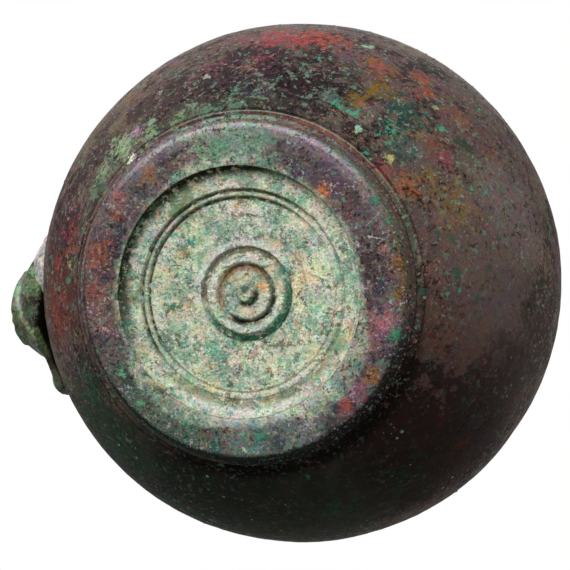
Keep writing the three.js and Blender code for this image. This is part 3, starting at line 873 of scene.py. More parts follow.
def leafHalf(share):
    lobe = math.sin(math.pi / 2 * min(1, share / leaf["broadest"])) ** leaf["outline"]
    neck = handle["gripWidth"] / leaf["width"]
    upper = lerp(1, neck, float(ease((share - leaf["broadest"]) / leaf["shoulder"])))
    return leaf["width"] / 2 * max(leaf["least"], min(lobe, upper))


def arch(x):  # 1 in the middle, 0 from one unit out
    return math.cos(math.pi / 2 * min(1, abs(x)))


def leafDome(sideways, height):
    half = leaf["domeNear"] if sideways > 0 else leaf["domeFar"]
    away = height - leaf["domeHeight"]
    along = arch(away / leaf["domeFall"]) if away < 0 else float(hump(away / leaf["domeRise"]))
    return leaf["dome"] * arch(sideways / half) ** leaf["domeSides"] * along


def leafFace(sideways, height):
    fromTip = float(ease((height - leaf["tip"]) / leaf["edgeTaper"]))
    middle = (1 - (2 * sideways / leaf["width"]) ** 2) * fromTip
    thickness = lerp(leaf["edge"], leaf["plate"], max(0, middle))
    reach = math.hypot(sideways - leaf["lobeSide"], height - leaf["lobeHeight"])
    lobe = leaf["lobeRise"] * float(hump(reach / leaf["lobeRadius"]))
    return thickness + leafDome(sideways, height) + lobe


def leafHollow(sideways, height):  # the dome stands open towards the tip
    across = arch((sideways - leaf["hollowSide"]) / leaf["hollowHalf"]) ** 2
    return leaf["hollowDepth"] * across * float(ease((leaf["hollowEnd"] - height) / leaf["hollowFade"]))


def onBelly(sideways, height, lift):
    depth = lowerDepth if height < 0 else shell["bellyRadius"]
    latitude = math.asin(max(-1, min(1, height / depth)))
    radius, angle = shell["bellyRadius"] * math.cos(latitude), sideways / shell["bellyRadius"]
    out = np.array((math.cos(latitude) / shell["bellyRadius"], math.sin(latitude) / depth))
    out /= np.linalg.norm(out)
    reach = radius + lift * out[0]
    return (reach * math.cos(angle), reach * math.sin(angle), shell["bellyHeight"] + height + lift * out[1])


def patchParts(columns, rows, place, low, high):  # a closed body between two lifted copies of a patch
    rings = []
    for i in range(rows + 1):
        spots = [place(lerp(-1, 1, j / columns), i / rows) for j in range(columns + 1)]
        top = [onBelly(s, h, high(s, h)) for s, h in spots]
        under = [onBelly(s, h, low(s, h)) for s, h in spots]
        rings.append(top + under[::-1])
    count = 2 * (columns + 1)
    faces = gridFaces(rows + 1, count)
    for row in (0, rows):
        for j in range(columns):
            faces.append([row * count + k for k in (j, j + 1, count - 2 - j, count - 1 - j)])
    return [point for ring in rings for point in ring], faces


def leafPlace(side, share):
    return side * leafHalf(share), lerp(leaf["tip"], leaf["top"], share)


vein = {
    "lines": [(-11, 0.15, 12), (-7, 0.35, 19), (-2, 0.45, 20), (3, 0.7, 12)],  # start, slope and reach
    "half": 0.7,
    "spineHalf": 0.8,
    "spineRise": 0.7,
    "spineEnd": 8,
    "spineFade": 6,
}
rib = {  # crosses the dome low down
    "height": -10.5,
    "bend": 0.022,
    "side": 3,
    "half": 9.5,
    "width": 1.1,
    "rise": 0.7,
}
scroll = {  # engraved on each side lobe
    "side": 16.5,
    "height": -1.5,
    "pitch": 1.9,
    "radius": 4.2,
    "depth": 0.4,
    "fade": 1.2,
}


def veins(sideways, height):
    side = np.abs(sideways)
    upwards = ease((vein["spineEnd"] - height) / vein["spineFade"])
    spine = vein["spineRise"] * hump(sideways / vein["spineHalf"]) * upwards
    ribs = 0
    for start, slope, reach in vein["lines"]:
        across = hump((height - start - slope * side) / vein["half"])
        ribs = ribs + across * ease((side - 0.5) / 2) * ease((reach - side) / 3)
    return np.maximum(spine, ribs)


def crossRib(sideways, height):
    line = rib["height"] + rib["bend"] * np.square(sideways)
    ends = ease(rib["half"] - np.abs(sideways - rib["side"]))
    return rib["rise"] * hump((height - line) / rib["width"]) * ends


def scrolls(sideways, height):  # a spiral line sunk into each lobe
    x, y = np.abs(sideways) - scroll["side"], height - scroll["height"]
    reach, turn = np.hypot(x, y), np.arctan2(y, x) / (2 * math.pi)
    wave = np.cos(2 * math.pi * (reach / scroll["pitch"] - turn))
    return scroll["depth"] * np.clip(wave, 0, 1) * ease((scroll["radius"] - reach) / scroll["fade"])


def makeLeaf():
    plate = patchParts(
        90,
        70,
        leafPlace,
        lambda s, h: handle["bed"] + leafHollow(s, h),
        lambda s, h: handle["bed"] + leafFace(s, h),
    )
    obj = castTogether("leafPlate", [plate, gripRun(0, handle["joint"], 40)], leaf["voxel"], 3)
    points, out = coordinates(obj), normals(obj)
    sideways = np.arctan2(points[:, 1], points[:, 0]) * shell["bellyRadius"]
    height = points[:, 2] - shell["bellyHeight"]
    front = ease((out[:, 0] - 0.1) / 0.3)
    line = leaf["veinDepth"] * veins(sideways, height)
    line = line + crossRib(sideways, height) - scrolls(sideways, height)
    setCoordinates(obj, points + out * (line * front + wornSkin(points, 3, 9, 8))[:, None])
    return obj


spill = {  # pale solder past the leaf's edge
    "side": 13,
    "half": 11.5,
    "low": -15,
    "high": 3,
    "lift": 4.5,
    "sunk": 0.3,
    "ragged": 0.16,
    "raggedSize": 2.5,
    "lumps": ((0.3, 3.2, 12), (0.16, 1.3, 10)),  # height, size and seed
}
leafBedSizes = {"low": 0.3, "high": 0.95, "inset": 0.95, "ragged": 0.04, "raggedSize": 3, "sunk": 0.2}


def makeLeafBed():
    def place(side, share):
        bed = leafBedSizes
        sideways, height = leafPlace(side, lerp(bed["low"], bed["high"], share))
        wander = noise.noise(Vector((side * 3, height / bed["raggedSize"], 1.7)))
        return sideways * (bed["inset"] + bed["ragged"] * wander), height

    def spillHalf(height):  # round towards both ends, with a ragged edge
        share = (height - spill["low"]) / (spill["high"] - spill["low"])
        ragged = 1 + spill["ragged"] * noise.noise(Vector((height / spill["raggedSize"], 3.1, 0.4)))
        return spill["half"] * math.sqrt(max(leaf["least"], 1 - (2 * share - 1) ** 2)) * ragged

    def spillPlace(side, share):
        height = lerp(spill["low"], spill["high"], share)
        return spill["side"] + spillHalf(height) * side, height

    def spillLift(sideways, height):
        across = arch((sideways - spill["side"]) / spillHalf(height))
        share = (height - spill["low"]) / (spill["high"] - spill["low"])
        return (spill["lift"] + spill["sunk"]) * across * math.sqrt(arch(2 * share - 1)) - spill["sunk"]

    sunk = leafBedSizes["sunk"]
    bed = patchParts(50, 40, place, lambda s, h: -sunk, lambda s, h: handle["bed"] + 0.3)
    mass = patchParts(60, 40, spillPlace, lambda s, h: -spill["sunk"] - 0.3, spillLift)
    obj = castTogether("leafSolder", [bed, mass], leaf["voxel"], 2)
    moved = coordinates(obj)
    lumps = sum(rise * relief(moved, size, 3, seed) for rise, size, seed in spill["lumps"])
    setCoordinates(obj, moved + normals(obj) * lumps[:, None])
    return obj


handlePiece = makeHandle()
leafPiece = makeLeaf()
leafBed = makeLeafBed()
print("handle and leaf made")

# Solder run along an edge as overlapping drops

solderPaths = {
    "lipShort": 4,  # degrees short of the arms' ends
    "lipOut": 0.55,
    "lipDown": 1.9,
    "baseIn": 1.2,
    "baseUp": 0.9,
}
solderDrops = {
    "Spacing": 0.9 * mm,
    "Smallest": 0.75 * mm,
    "Largest": 1.25 * mm,
    "Flatness": 0.8,
    "Seed": 5,
}


def dropsOn(g, size, points, rotation, segments, rings):  # flattened drops of random width on the points
    drop = g.add("GeometryNodeMeshUVSphere", {"Segments": segments, "Rings": rings, "Radius": 1.0}).outputs[0]
    width = g.add("FunctionNodeRandomValue", data_type="FLOAT")
    for socket, value in ((2, size["Smallest"]), (3, size["Largest"]), (8, size["Seed"])):
        g.put(width.inputs[socket], value)
    broad = width.outputs[1]
    thick = g.math("MULTIPLY", broad, size["Flatness"])
    shape = g.add("ShaderNodeCombineXYZ", {0: broad, 1: broad, 2: thick}).outputs[0]
    inputs = {"Points": points, "Instance": drop, "Scale": shape, "Rotation": rotation}
    return g.add("GeometryNodeInstanceOnPoints", inputs).outputs[0]


def dropTree():
    tree = sizedTree("solderDrops", solderDrops, True)
    g = Tree(tree)
    start = g.add("NodeGroupInput")
    size = start.outputs
    path = g.add("GeometryNodeMeshToCurve", {"Mesh": size["Geometry"]}).outputs[0]
    spots = g.add("GeometryNodeCurveToPoints", {"Curve": path, "Length": size["Spacing"]}, mode="LENGTH")
    endTree(g, dropsOn(g, size, spots.outputs[0], spots.outputs["Rotation"], 10, 7), start)
    return tree


def solderRun(name, points, closed, material, sizes):
    edges = [(i, i + 1) for i in range(len(points) - 1)]
    if closed:
        edges.append((len(points) - 1, 0))
    mesh = bpy.data.meshes.new(name)
    mesh.from_pydata((np.array(points) * mm).tolist(), edges, [])
    obj = newObject(name, mesh)
    return settle(runTree(obj, bpy.data.node_groups.get("solderDrops") or dropTree(), sizes, material))


def lipSolderPath():
    path = []
    sweep = math.radians(handle["armSweep"] - solderPaths["lipShort"])
    for angle in np.linspace(-sweep, sweep, 90):
        away = float(lipReach(np.array(angle))) + solderPaths["lipOut"]
        height = float(lipLevel(np.array(angle))) - handle["armDrop"] - solderPaths["lipDown"]
        path.append((away * math.cos(angle), away * math.sin(angle), height))
    return path


def baseSolderPath():
    radius = shell["flangeRadius"] - solderPaths["baseIn"]
    height = shell["floor"] + solderPaths["baseUp"]
    turns = np.linspace(-math.pi, math.pi, 180, endpoint=False)
    return [(radius * math.cos(turn), radius * math.sin(turn), height) for turn in turns]


# Corrosion warts scattered over a skin

wartSizes = {
    "Density": 26000.0,  # for each square metre
    "Smallest": 0.16 * mm,
    "Largest": 0.55 * mm,
    "Flatness": 0.4,
    "Patch": 9.0 * mm,  # size of the patches that carry them
    "Bareness": 0.56,  # share of the noise below which the skin stays bare
    "Middle": shell["bellyHeight"] * mm,
    "Seed": 3,
}


def wartTree():
    tree = sizedTree("corrosionWarts", wartSizes, True)
    g = Tree(tree)
    start = g.add("NodeGroupInput")
    size = start.outputs
    place = g.add("GeometryNodeInputPosition").outputs[0]
    facing = g.add("GeometryNodeInputNormal").outputs[0]
    middle = g.add("ShaderNodeCombineXYZ", {2: size["Middle"]}).outputs[0]
    outside = g.vector("DOT_PRODUCT", facing, g.vector("SUBTRACT", place, middle), out=1)
    scale = g.math("DIVIDE", 1.0, size["Patch"])
    patch = g.add("ShaderNodeTexNoise", {"Vector": place, "Scale": scale}).outputs[0]
    outer, grown = g.math("GREATER_THAN", outside, 0.0), g.math("GREATER_THAN", patch, size["Bareness"])
    grows = g.math("MULTIPLY", outer, grown)
    inputs = {"Mesh": size["Geometry"], "Selection": grows, "Density": size["Density"], "Seed": size["Seed"]}
    spots = g.add("GeometryNodeDistributePointsOnFaces", inputs)
    endTree(g, dropsOn(g, size, spots.outputs["Points"], spots.outputs["Rotation"], 7, 5), start)
    return tree


def makeWarts(name, host, material):
    obj = newObject(name, host.data.copy())
    runTree(obj, wartTree(), wartSizes, material)
    setCoordinates(obj, coordinates(obj))
    return obj


# Finishes: a ground colour, layers of corrosion broken up by noise, then growths at chosen places


def tone(seen):  # the light of a colour as it is seen, each part from 0 to 255
    return tuple((part / 255) ** 2.2 for part in seen)


bellyFinish = {
    "ground": (88, 76, 71),
    "layers": [  # colour, size in millimetres, where it starts and is full, strength
        ((106, 92, 76), 24, 0.47, 0.60, 0.7),
        ((90, 68, 74), 14, 0.50, 0.60, 0.7),
        ((42, 35, 38), 9, 0.50, 0.59, 0.8),
        ((120, 74, 60), 5, 0.59, 0.66, 0.55),
        ((72, 84, 74), 4, 0.56, 0.63, 0.6),
        ((118, 104, 99), 2.4, 0.56, 0.65, 0.5),
    ],
    "specks": [
        ((28, 24, 25), 1.5, 0.54, 0.61, 0.75),
        ((94, 128, 110), 1.9, 0.59, 0.64, 0.7),
        ((146, 98, 92), 1.5, 0.60, 0.65, 0.5),
        ((158, 150, 138), 1.1, 0.60, 0.66, 0.55),
    ],
    "tints": [(3.4, 0.45), (1.0, 0.35)],  # size, amount
    "grain": 1.0,
    "rough": (0.46, 0.62),
    "specular": 0.004,
    "bump": 0.45,
}
footFinish = {
    "ground": (104, 92, 93),
    "layers": [
        ((124, 110, 104), 9, 0.47, 0.58, 0.7),
        ((64, 57, 68), 6, 0.50, 0.59, 0.8),
        ((142, 94, 88), 3.6, 0.57, 0.64, 0.55),
        ((114, 128, 110), 3.0, 0.56, 0.63, 0.55),
        ((58, 52, 58), 1.9, 0.55, 0.62, 0.65),
    ],
    "specks": [
        ((36, 32, 38), 1.1, 0.54, 0.61, 0.8),
        ((196, 188, 186), 0.9, 0.57, 0.65, 0.6),
        ((84, 150, 124), 1.4, 0.59, 0.65, 0.7),
        ((168, 112, 104), 1.2, 0.60, 0.65, 0.5),
    ],
    "tints": [(2.8, 0.5), (1.0, 0.35)],
    "grain": 1.35,
    "rough": (0.52, 0.7),
    "specular": 0.015,
    "bump": 0.75,
}
recessFinish = {
    "ground": (188, 194, 178),
    "layers": [
        ((218, 211, 190), 9, 0.47, 0.58, 0.8),
        ((132, 161, 144), 6, 0.49, 0.57, 0.85),
        ((206, 160, 114), 4.2, 0.55, 0.62, 0.6),
        ((104, 168, 150), 3.6, 0.54, 0.60, 0.7),
        ((216, 216, 202), 3.4, 0.54, 0.61, 0.75),
        ((124, 124, 128), 4.4, 0.60, 0.65, 0.6),
        ((84, 78, 60), 2.6, 0.56, 0.61, 0.78),
    ],
    "specks": [
        ((230, 226, 212), 1.5, 0.53, 0.61, 0.65),
        ((82, 78, 62), 1.2, 0.55, 0.62, 0.7),
        ((208, 162, 120), 1.4, 0.59, 0.64, 0.55),
        ((78, 152, 132), 1.7, 0.57, 0.63, 0.65),
        ((52, 50, 44), 0.9, 0.61, 0.66, 0.7),
    ],
    "tints": [(3.4, 0.4), (1.0, 0.28)],
    "grain": 1.15,
    "rough": (0.8, 0.95),
    "specular": 0.02,
    "bump": 1.0,
}
handleFinish = {
    "ground": (70, 79, 56),
    "layers": [
        ((98, 110, 82), 7, 0.49, 0.60, 0.75),
        ((40, 40, 31), 5, 0.50, 0.59, 0.85),
        ((76, 122, 88), 3, 0.56, 0.63, 0.65),
        ((116, 94, 76), 3.4, 0.59, 0.65, 0.6),
    ],
    "specks": [
        ((164, 176, 146), 1.0, 0.60, 0.67, 0.6),
        ((28, 28, 22), 0.9, 0.57, 0.63, 0.8),
    ],
    "tints": [(3.0, 0.9), (1.0, 0.8)],
    "grain": 0.8,
    "rough": (0.4, 0.6),
    "specular": 0.14,
    "bump": 0.6,
}
solderFinish = {
    "ground": (160, 154, 146),
    "layers": [
        ((206, 200, 202), 3, 0.47, 0.58, 0.8),
        ((120, 118, 112), 5, 0.50, 0.60, 0.7),
        ((98, 108, 86), 2.4, 0.55, 0.63, 0.7),
    ],
    "specks": [
        ((232, 228, 230), 0.9, 0.56, 0.63, 0.7),
        ((60, 54, 54), 0.9, 0.58, 0.64, 0.7),
    ],
    "tints": [(2.0, 0.7), (0.9, 0.6)],
    "grain": 0.8,
    "rough": (0.5, 0.8),
    "specular": 0.3,
    "bump": 0.8,
}
wartFinish = {
    "ground": (72, 118, 96),
    "layers": [
        ((106, 142, 116), 7, 0.45, 0.58, 0.8),
        ((56, 68, 54), 4, 0.48, 0.60, 0.8),
        ((112, 80, 66), 9, 0.53, 0.60, 0.8),
    ],
    "specks": [((170, 184, 156), 0.7, 0.57, 0.66, 0.7)],
    "tints": [(2.0, 0.8)],
    "grain": 0.8,
    "rough": (0.7, 0.9),
    "specular": 0.1,
    "bump": 0.3,
}

# Growths, with a few painted highlights and shades marked where they stand: pixel in the photograph, reach in
# pixels, colour, cover, the field that breaks it up, strength.
# A cover near 1 is a whole patch, one below 0 only scattered flecks.

fields = {  # size in millimetres, shift
    "broad": (6.5, 0.4),
    "patchy": (2.8, 1.7),
    "blotchy": (2.4, 2.9),
    "flaked": (2.2, 5.9),
    "flecked": (1.5, 7.3),
    "speckled": (1.2, 3.8),
    "grainy": (1.0, 4.6),
}
mint, teal, pine = (146, 184, 160), (70, 142, 118), (44, 86, 74)
bellyStains = [
    ((62, 222), 62, (62, 48, 54), 0.95, "broad", 0.85),
    ((56, 300), 74, (84, 54, 51), 0.95, "broad", 0.88),
    ((66, 250), 40, (52, 38, 42), 0.4, "patchy", 0.8),
    ((84, 372), 44, (60, 60, 56), 0.9, "broad", 0.85),
    ((100, 150), 56, (66, 56, 57), 0.8, "broad", 0.8),
    ((490, 404), 120, (46, 38, 38), 0.9, "broad", 0.7),
    ((456, 376), 60, (48, 39, 38), 0.8, "broad", 0.9),
    ((418, 460), 120, (38, 32, 30), 0.9, "broad", 0.8),
    ((200, 492), 96, (40, 48, 41), 0.9, "broad", 0.7),
    ((404, 404), 90, (46, 36, 34), 1.0, "broad", 0.98),
    ((462, 444), 26, (66, 40, 28), 0.4, "patchy", 0.75),
    ((404, 478), 70, (26, 52, 42), 0.2, "flaked", 0.8),
    ((462, 404), 60, (34, 54, 44), 0.05, "patchy", 0.75),
    ((438, 424), 34, (62, 36, 36), 0.1, "patchy", 0.75),
    ((300, 506), 110, (46, 48, 42), 0.9, "broad", 0.7),
    ((330, 508), 70, (34, 70, 56), 0.1, "flaked", 0.8),
    ((108, 424), 70, (54, 66, 54), 1.0, "broad", 0.85),
    ((92, 392), 50, (58, 100, 80), 0.25, "flaked", 0.8),
    ((124, 446), 50, (54, 76, 60), 0.1, "flaked", 0.7),
    ((550, 300), 40, (70, 60, 58), 0.8, "broad", 0.6),
    ((470, 262), 96, (94, 80, 75), 0.8, "broad", 0.8),
    ((452, 340), 70, (90, 71, 66), 0.8, "broad", 0.8),
    ((250, 78), 92, (54, 44, 49), 0.95, "broad", 0.9),
    ((170, 104), 66, (66, 56, 57), 0.9, "broad", 0.8),
    ((312, 84), 60, (42, 34, 38), 0.9, "patchy", 0.9),
    ((262, 60), 44, (46, 36, 40), 0.5, "patchy", 0.85),
    ((226, 96), 50, (42, 34, 39), 0.6, "patchy", 0.85),
    ((150, 128), 34, (44, 36, 39), 0.5, "patchy", 0.8),
    ((256, 88), 76, (98, 120, 108), 0.1, "flaked", 0.85),
    ((236, 92), 44, (92, 112, 100), 0.15, "patchy", 0.8),
    ((322, 94), 26, (90, 112, 100), 0.3, "patchy", 0.8),
    ((312, 72), 50, (96, 128, 112), 0.0, "flaked", 0.85),
    ((190, 108), 64, (122, 136, 116), 0.05, "flaked", 0.85),
    ((240, 66), 60, (128, 74, 84), -0.1, "flaked", 0.7),
    ((190, 78), 50, (120, 92, 90), -0.05, "flaked", 0.6),
    ((276, 37), 38, (134, 66, 70), 0.85, "patchy", 0.85),
    ((322, 37), 34, (140, 70, 60), 0.85, "patchy", 0.85),
    ((300, 38), 30, (140, 66, 66), 0.8, "blotchy", 0.8),
    ((240, 38), 34, (104, 66, 72), 0.7, "patchy", 0.7),
    ((330, 99), 26, (84, 104, 92), 0.5, "speckled", 0.75),
    ((405, 112), 40, (38, 66, 60), 0.7, "patchy", 0.85),
    ((400, 146), 38, (46, 88, 78), 0.45, "speckled", 0.85),
    ((398, 124), 62, (74, 122, 104), -0.2, "flecked", 0.85),
    ((378, 126), 76, (40, 33, 34), 0.0, "flaked", 0.88),
    ((380, 76), 40, (120, 84, 50), 0.1, "flaked", 0.8),
    ((357, 98), 14, (108, 84, 46), 0.9, "patchy", 0.9),
    ((379, 88), 17, (106, 84, 38), 0.9, "patchy", 0.9),
    ((378, 66), 15, (134, 80, 74), 0.9, "blotchy", 0.8),
    ((372, 60), 11, (140, 84, 46), 0.8, "speckled", 0.8),
    ((392, 72), 22, (118, 80, 56), 0.5, "speckled", 0.75),
    ((362, 104), 8, (132, 82, 80), 0.8, "speckled", 0.8),
    ((420, 78), 17, (140, 78, 54), 0.8, "speckled", 0.8),
    ((428, 92), 14, (150, 70, 46), 0.7, "speckled", 0.8),
    ((418, 96), 6, (150, 66, 54), 0.9, "speckled", 0.8),
    ((382, 172), 20, (132, 74, 68), 0.8, "speckled", 0.8),
    ((407, 186), 22, (144, 90, 62), 0.8, "speckled", 0.75),
    ((428, 176), 20, (126, 92, 58), 0.5, "speckled", 0.75),
    ((444, 156), 22, (124, 62, 74), 0.6, "speckled", 0.7),
    ((459, 118), 30, (134, 76, 58), 0.5, "speckled", 0.7),
    ((436, 146), 26, (104, 58, 50), 0.5, "speckled", 0.7),
    ((452, 206), 44, (114, 92, 60), 0.7, "patchy", 0.65),
    ((465, 143), 17, (50, 66, 58), 0.8, "patchy", 0.8),
    ((492, 152), 40, (122, 78, 66), 0.3, "patchy", 0.65),
    ((462, 176), 54, (70, 104, 86), -0.35, "flecked", 0.75),
    ((486, 260), 80, (112, 84, 76), -0.1, "flaked", 0.6),
    ((430, 270), 60, (130, 88, 76), 0.25, "speckled", 0.65),
    ((440, 338), 60, (116, 72, 60), 0.1, "flaked", 0.65),
    ((446, 300), 80, (48, 40, 40), -0.15, "flaked", 0.7),
    ((456, 334), 70, (50, 84, 68), -0.3, "flaked", 0.75),
    ((505, 300), 50, (84, 76, 80), 0.5, "broad", 0.55),
    ((118, 152), 44, (142, 158, 128), 0.4, "flaked", 0.88),
    ((112, 168), 44, (42, 34, 37), 0.25, "flaked", 0.88),
    ((98, 186), 20, (66, 98, 82), 0.7, "speckled", 0.8),
    ((180, 130), 24, (124, 138, 106), 0.4, "flaked", 0.85),
    ((230, 108), 34, (84, 112, 96), 0.3, "flaked", 0.8),
    ((186, 122), 30, (92, 112, 86), 0.3, "flaked", 0.75),
    ((146, 152), 34, (126, 142, 108), 0.35, "flaked", 0.85),
    ((106, 196), 30, (100, 118, 90), 0.3, "flaked", 0.8),
    ((137, 131), 11, (152, 122, 136), 0.9, "grainy", 0.85),
    ((70, 236), 60, (140, 68, 60), 0.2, "flaked", 0.8),
    ((66, 206), 50, (120, 104, 100), 0.0, "flaked", 0.7),
    ((58, 316), 66, (136, 66, 58), 0.25, "flaked", 0.8),
    ((66, 330), 50, (120, 112, 96), -0.05, "flaked", 0.7),
    ((104, 232), 40, (84, 60, 60), 0.3, "flaked", 0.7),
    ((78, 262), 18, (110, 104, 66), 0.2, "flecked", 0.75),
    ((58, 262), 11, (138, 58, 50), 0.7, "flecked", 0.85),
    ((64, 300), 14, (116, 68, 62), 0.8, "speckled", 0.8),
    ((76, 330), 36, (92, 108, 86), -0.1, "flaked", 0.65),
    ((74, 372), 26, (78, 66, 70), 0.6, "patchy", 0.7),
    ((86, 340), 9, (118, 104, 64), 0.7, "speckled", 0.8),
    ((92, 192), 16, (104, 124, 100), 0.5, "speckled", 0.8),
    ((104, 172), 18, (132, 150, 122), 0.6, "speckled", 0.85),
    ((126, 150), 20, (138, 154, 126), 0.6, "speckled", 0.85),
    ((150, 134), 18, (130, 146, 114), 0.6, "speckled", 0.85),
    ((176, 122), 18, (118, 136, 108), 0.5, "speckled", 0.8),
    ((206, 112), 18, (98, 122, 104), 0.5, "speckled", 0.8),
    ((236, 106), 16, (90, 118, 102), 0.5, "speckled", 0.8),
    ((116, 160), 34, (46, 36, 40), 0.1, "flecked", 0.85),
    ((160, 118), 34, (48, 38, 42), 0.1, "flecked", 0.85),
    ((350, 72), 26, (58, 66, 58), 0.5, "speckled", 0.8),
    ((412, 252), 18, (136, 116, 104), 0.8, "speckled", 0.75),
    ((262, 60), 46, (140, 70, 88), 0.1, "flecked", 0.8),
    ((214, 68), 40, (132, 72, 88), 0.1, "flecked", 0.8),
    ((47, 276), 9, (108, 120, 106), 0.5, "flaked", 0.75),
    ((47, 306), 10, (96, 106, 94), 0.5, "flaked", 0.75),
    ((55, 348), 10, (78, 92, 84), 0.6, "flaked", 0.75),
    ((64, 376), 10, (66, 84, 76), 0.6, "flaked", 0.75),
]
farStains = [  # on the sides the photograph doesn't show, at places in millimetres
    ((-20, 66, 60), 80, (64, 50, 54), 0.8, "broad", 0.8),
    ((-40, 52, 86), 70, (112, 70, 58), 0.3, "flaked", 0.7),
    ((-64, 20, 70), 80, (96, 112, 92), 0.2, "flaked", 0.75),
    ((-66, -22, 48), 90, (56, 48, 46), 0.8, "broad", 0.8),
    ((-58, -36, 66), 60, (66, 100, 84), 0.1, "flaked", 0.8),
    ((-30, -60, 84), 90, (86, 64, 58), 0.7, "broad", 0.7),
    ((10, -69, 62), 80, (52, 44, 44), 0.8, "broad", 0.8),
    ((14, -68, 48), 60, (60, 88, 74), 0.2, "flaked", 0.8),
    ((40, -50, 90), 80, (124, 78, 62), 0.2, "flaked", 0.7),
    ((58, -38, 60), 80, (66, 78, 64), 0.6, "broad", 0.7),
    ((52, 46, 64), 90, (62, 50, 52), 0.8, "broad", 0.8),
    ((46, 50, 84), 60, (96, 116, 96), 0.2, "flaked", 0.75),
    ((20, 62, 88), 80, (120, 72, 62), 0.2, "flaked", 0.7),
    ((10, 30, 116), 90, (70, 86, 72), 0.5, "patchy", 0.7),
    ((-18, -20, 136), 90, (64, 82, 70), 0.5, "patchy", 0.7),
    ((-30, 8, 150), 60, (52, 42, 42), 0.7, "patchy", 0.8),
    ((0, 34, 158), 60, (84, 108, 88), 0.4, "flaked", 0.8),
]
bellyCrusts = [
    ((369, 46), 10, mint, 0.7, "flecked", 0.9),
    ((351, 38), 9, (120, 158, 138), 0.3, "flecked", 0.85),
    ((348, 62), 16, teal, 0.1, "flecked", 0.85),
    ((318, 57), 9, teal, 0.3, "flecked", 0.8),
    ((304, 64), 7, (84, 128, 108), 0.6, "grainy", 0.8),
    ((290, 50), 16, (84, 124, 106), 0.1, "flecked", 0.75),
    ((336, 104), 16, teal, 0.4, "flecked", 0.85),
    ((352, 112), 12, teal, 0.6, "flecked", 0.85),
    ((357, 128), 9, mint, 0.7, "flecked", 0.9),
    ((366, 152), 14, teal, 0.3, "flecked", 0.85),
    ((398, 100), 12, (140, 150, 116), 0.3, "grainy", 0.8),
    ((389, 158), 10, (172, 166, 112), 0.6, "flecked", 0.85),
    ((390, 132), 26, teal, 0.2, "flecked", 0.85),
    ((413, 149), 18, (98, 160, 138), 0.2, "flecked", 0.85),
    ((434, 106), 9, (150, 158, 122), 0.4, "grainy", 0.85),
    ((441, 128), 6, teal, 0.8, "grainy", 0.85),
    ((478, 110), 6, teal, 0.7, "grainy", 0.85),
    ((476, 134), 7, (112, 132, 108), 0.6, "grainy", 0.8),
    ((457, 180), 9, (128, 128, 88), 0.5, "grainy", 0.8),
    ((472, 188), 7, teal, 0.5, "grainy", 0.85),
    ((486, 193), 5, teal, 0.8, "grainy", 0.85),
    ((405, 216), 6, (110, 140, 116), 0.6, "grainy", 0.8),
    ((437, 234), 7, pine, 0.7, "grainy", 0.8),
    ((452, 237), 6, pine, 0.7, "grainy", 0.8),
    ((498, 238), 6, pine, 0.7, "grainy", 0.8),
    ((456, 272), 8, pine, 0.7, "flecked", 0.85),
    ((461, 290), 4, teal, 0.9, "grainy", 0.8),
    ((447, 293), 4, teal, 0.9, "grainy", 0.8),
    ((423, 291), 6, pine, 0.8, "grainy", 0.8),
    ((478, 298), 6, pine, 0.8, "grainy", 0.85),
    ((488, 268), 9, pine, 0.6, "flecked", 0.85),
    ((151, 122), 10, (132, 150, 132), 0.6, "flecked", 0.8),
    ((131, 158), 8, (206, 210, 190), 0.9, "grainy", 0.9),
    ((160, 92), 6, (170, 160, 150), 0.5, "grainy", 0.7),
    ((207, 76), 7, (160, 158, 150), 0.5, "flecked", 0.75),
    ((70, 264), 4, (180, 160, 92), 1.0, "grainy", 0.85),
    ((68, 279), 8, (84, 128, 100), 0.7, "speckled", 0.85),
    ((120, 186), 14, (104, 142, 112), 0.4, "flecked", 0.8),
    ((128, 440), 7, (120, 140, 124), 0.5, "grainy", 0.7),
    ((308, 477), 7, teal, 0.5, "grainy", 0.5),
    ((300, 518), 9, (96, 104, 90), 0.3, "grainy", 0.5),
]
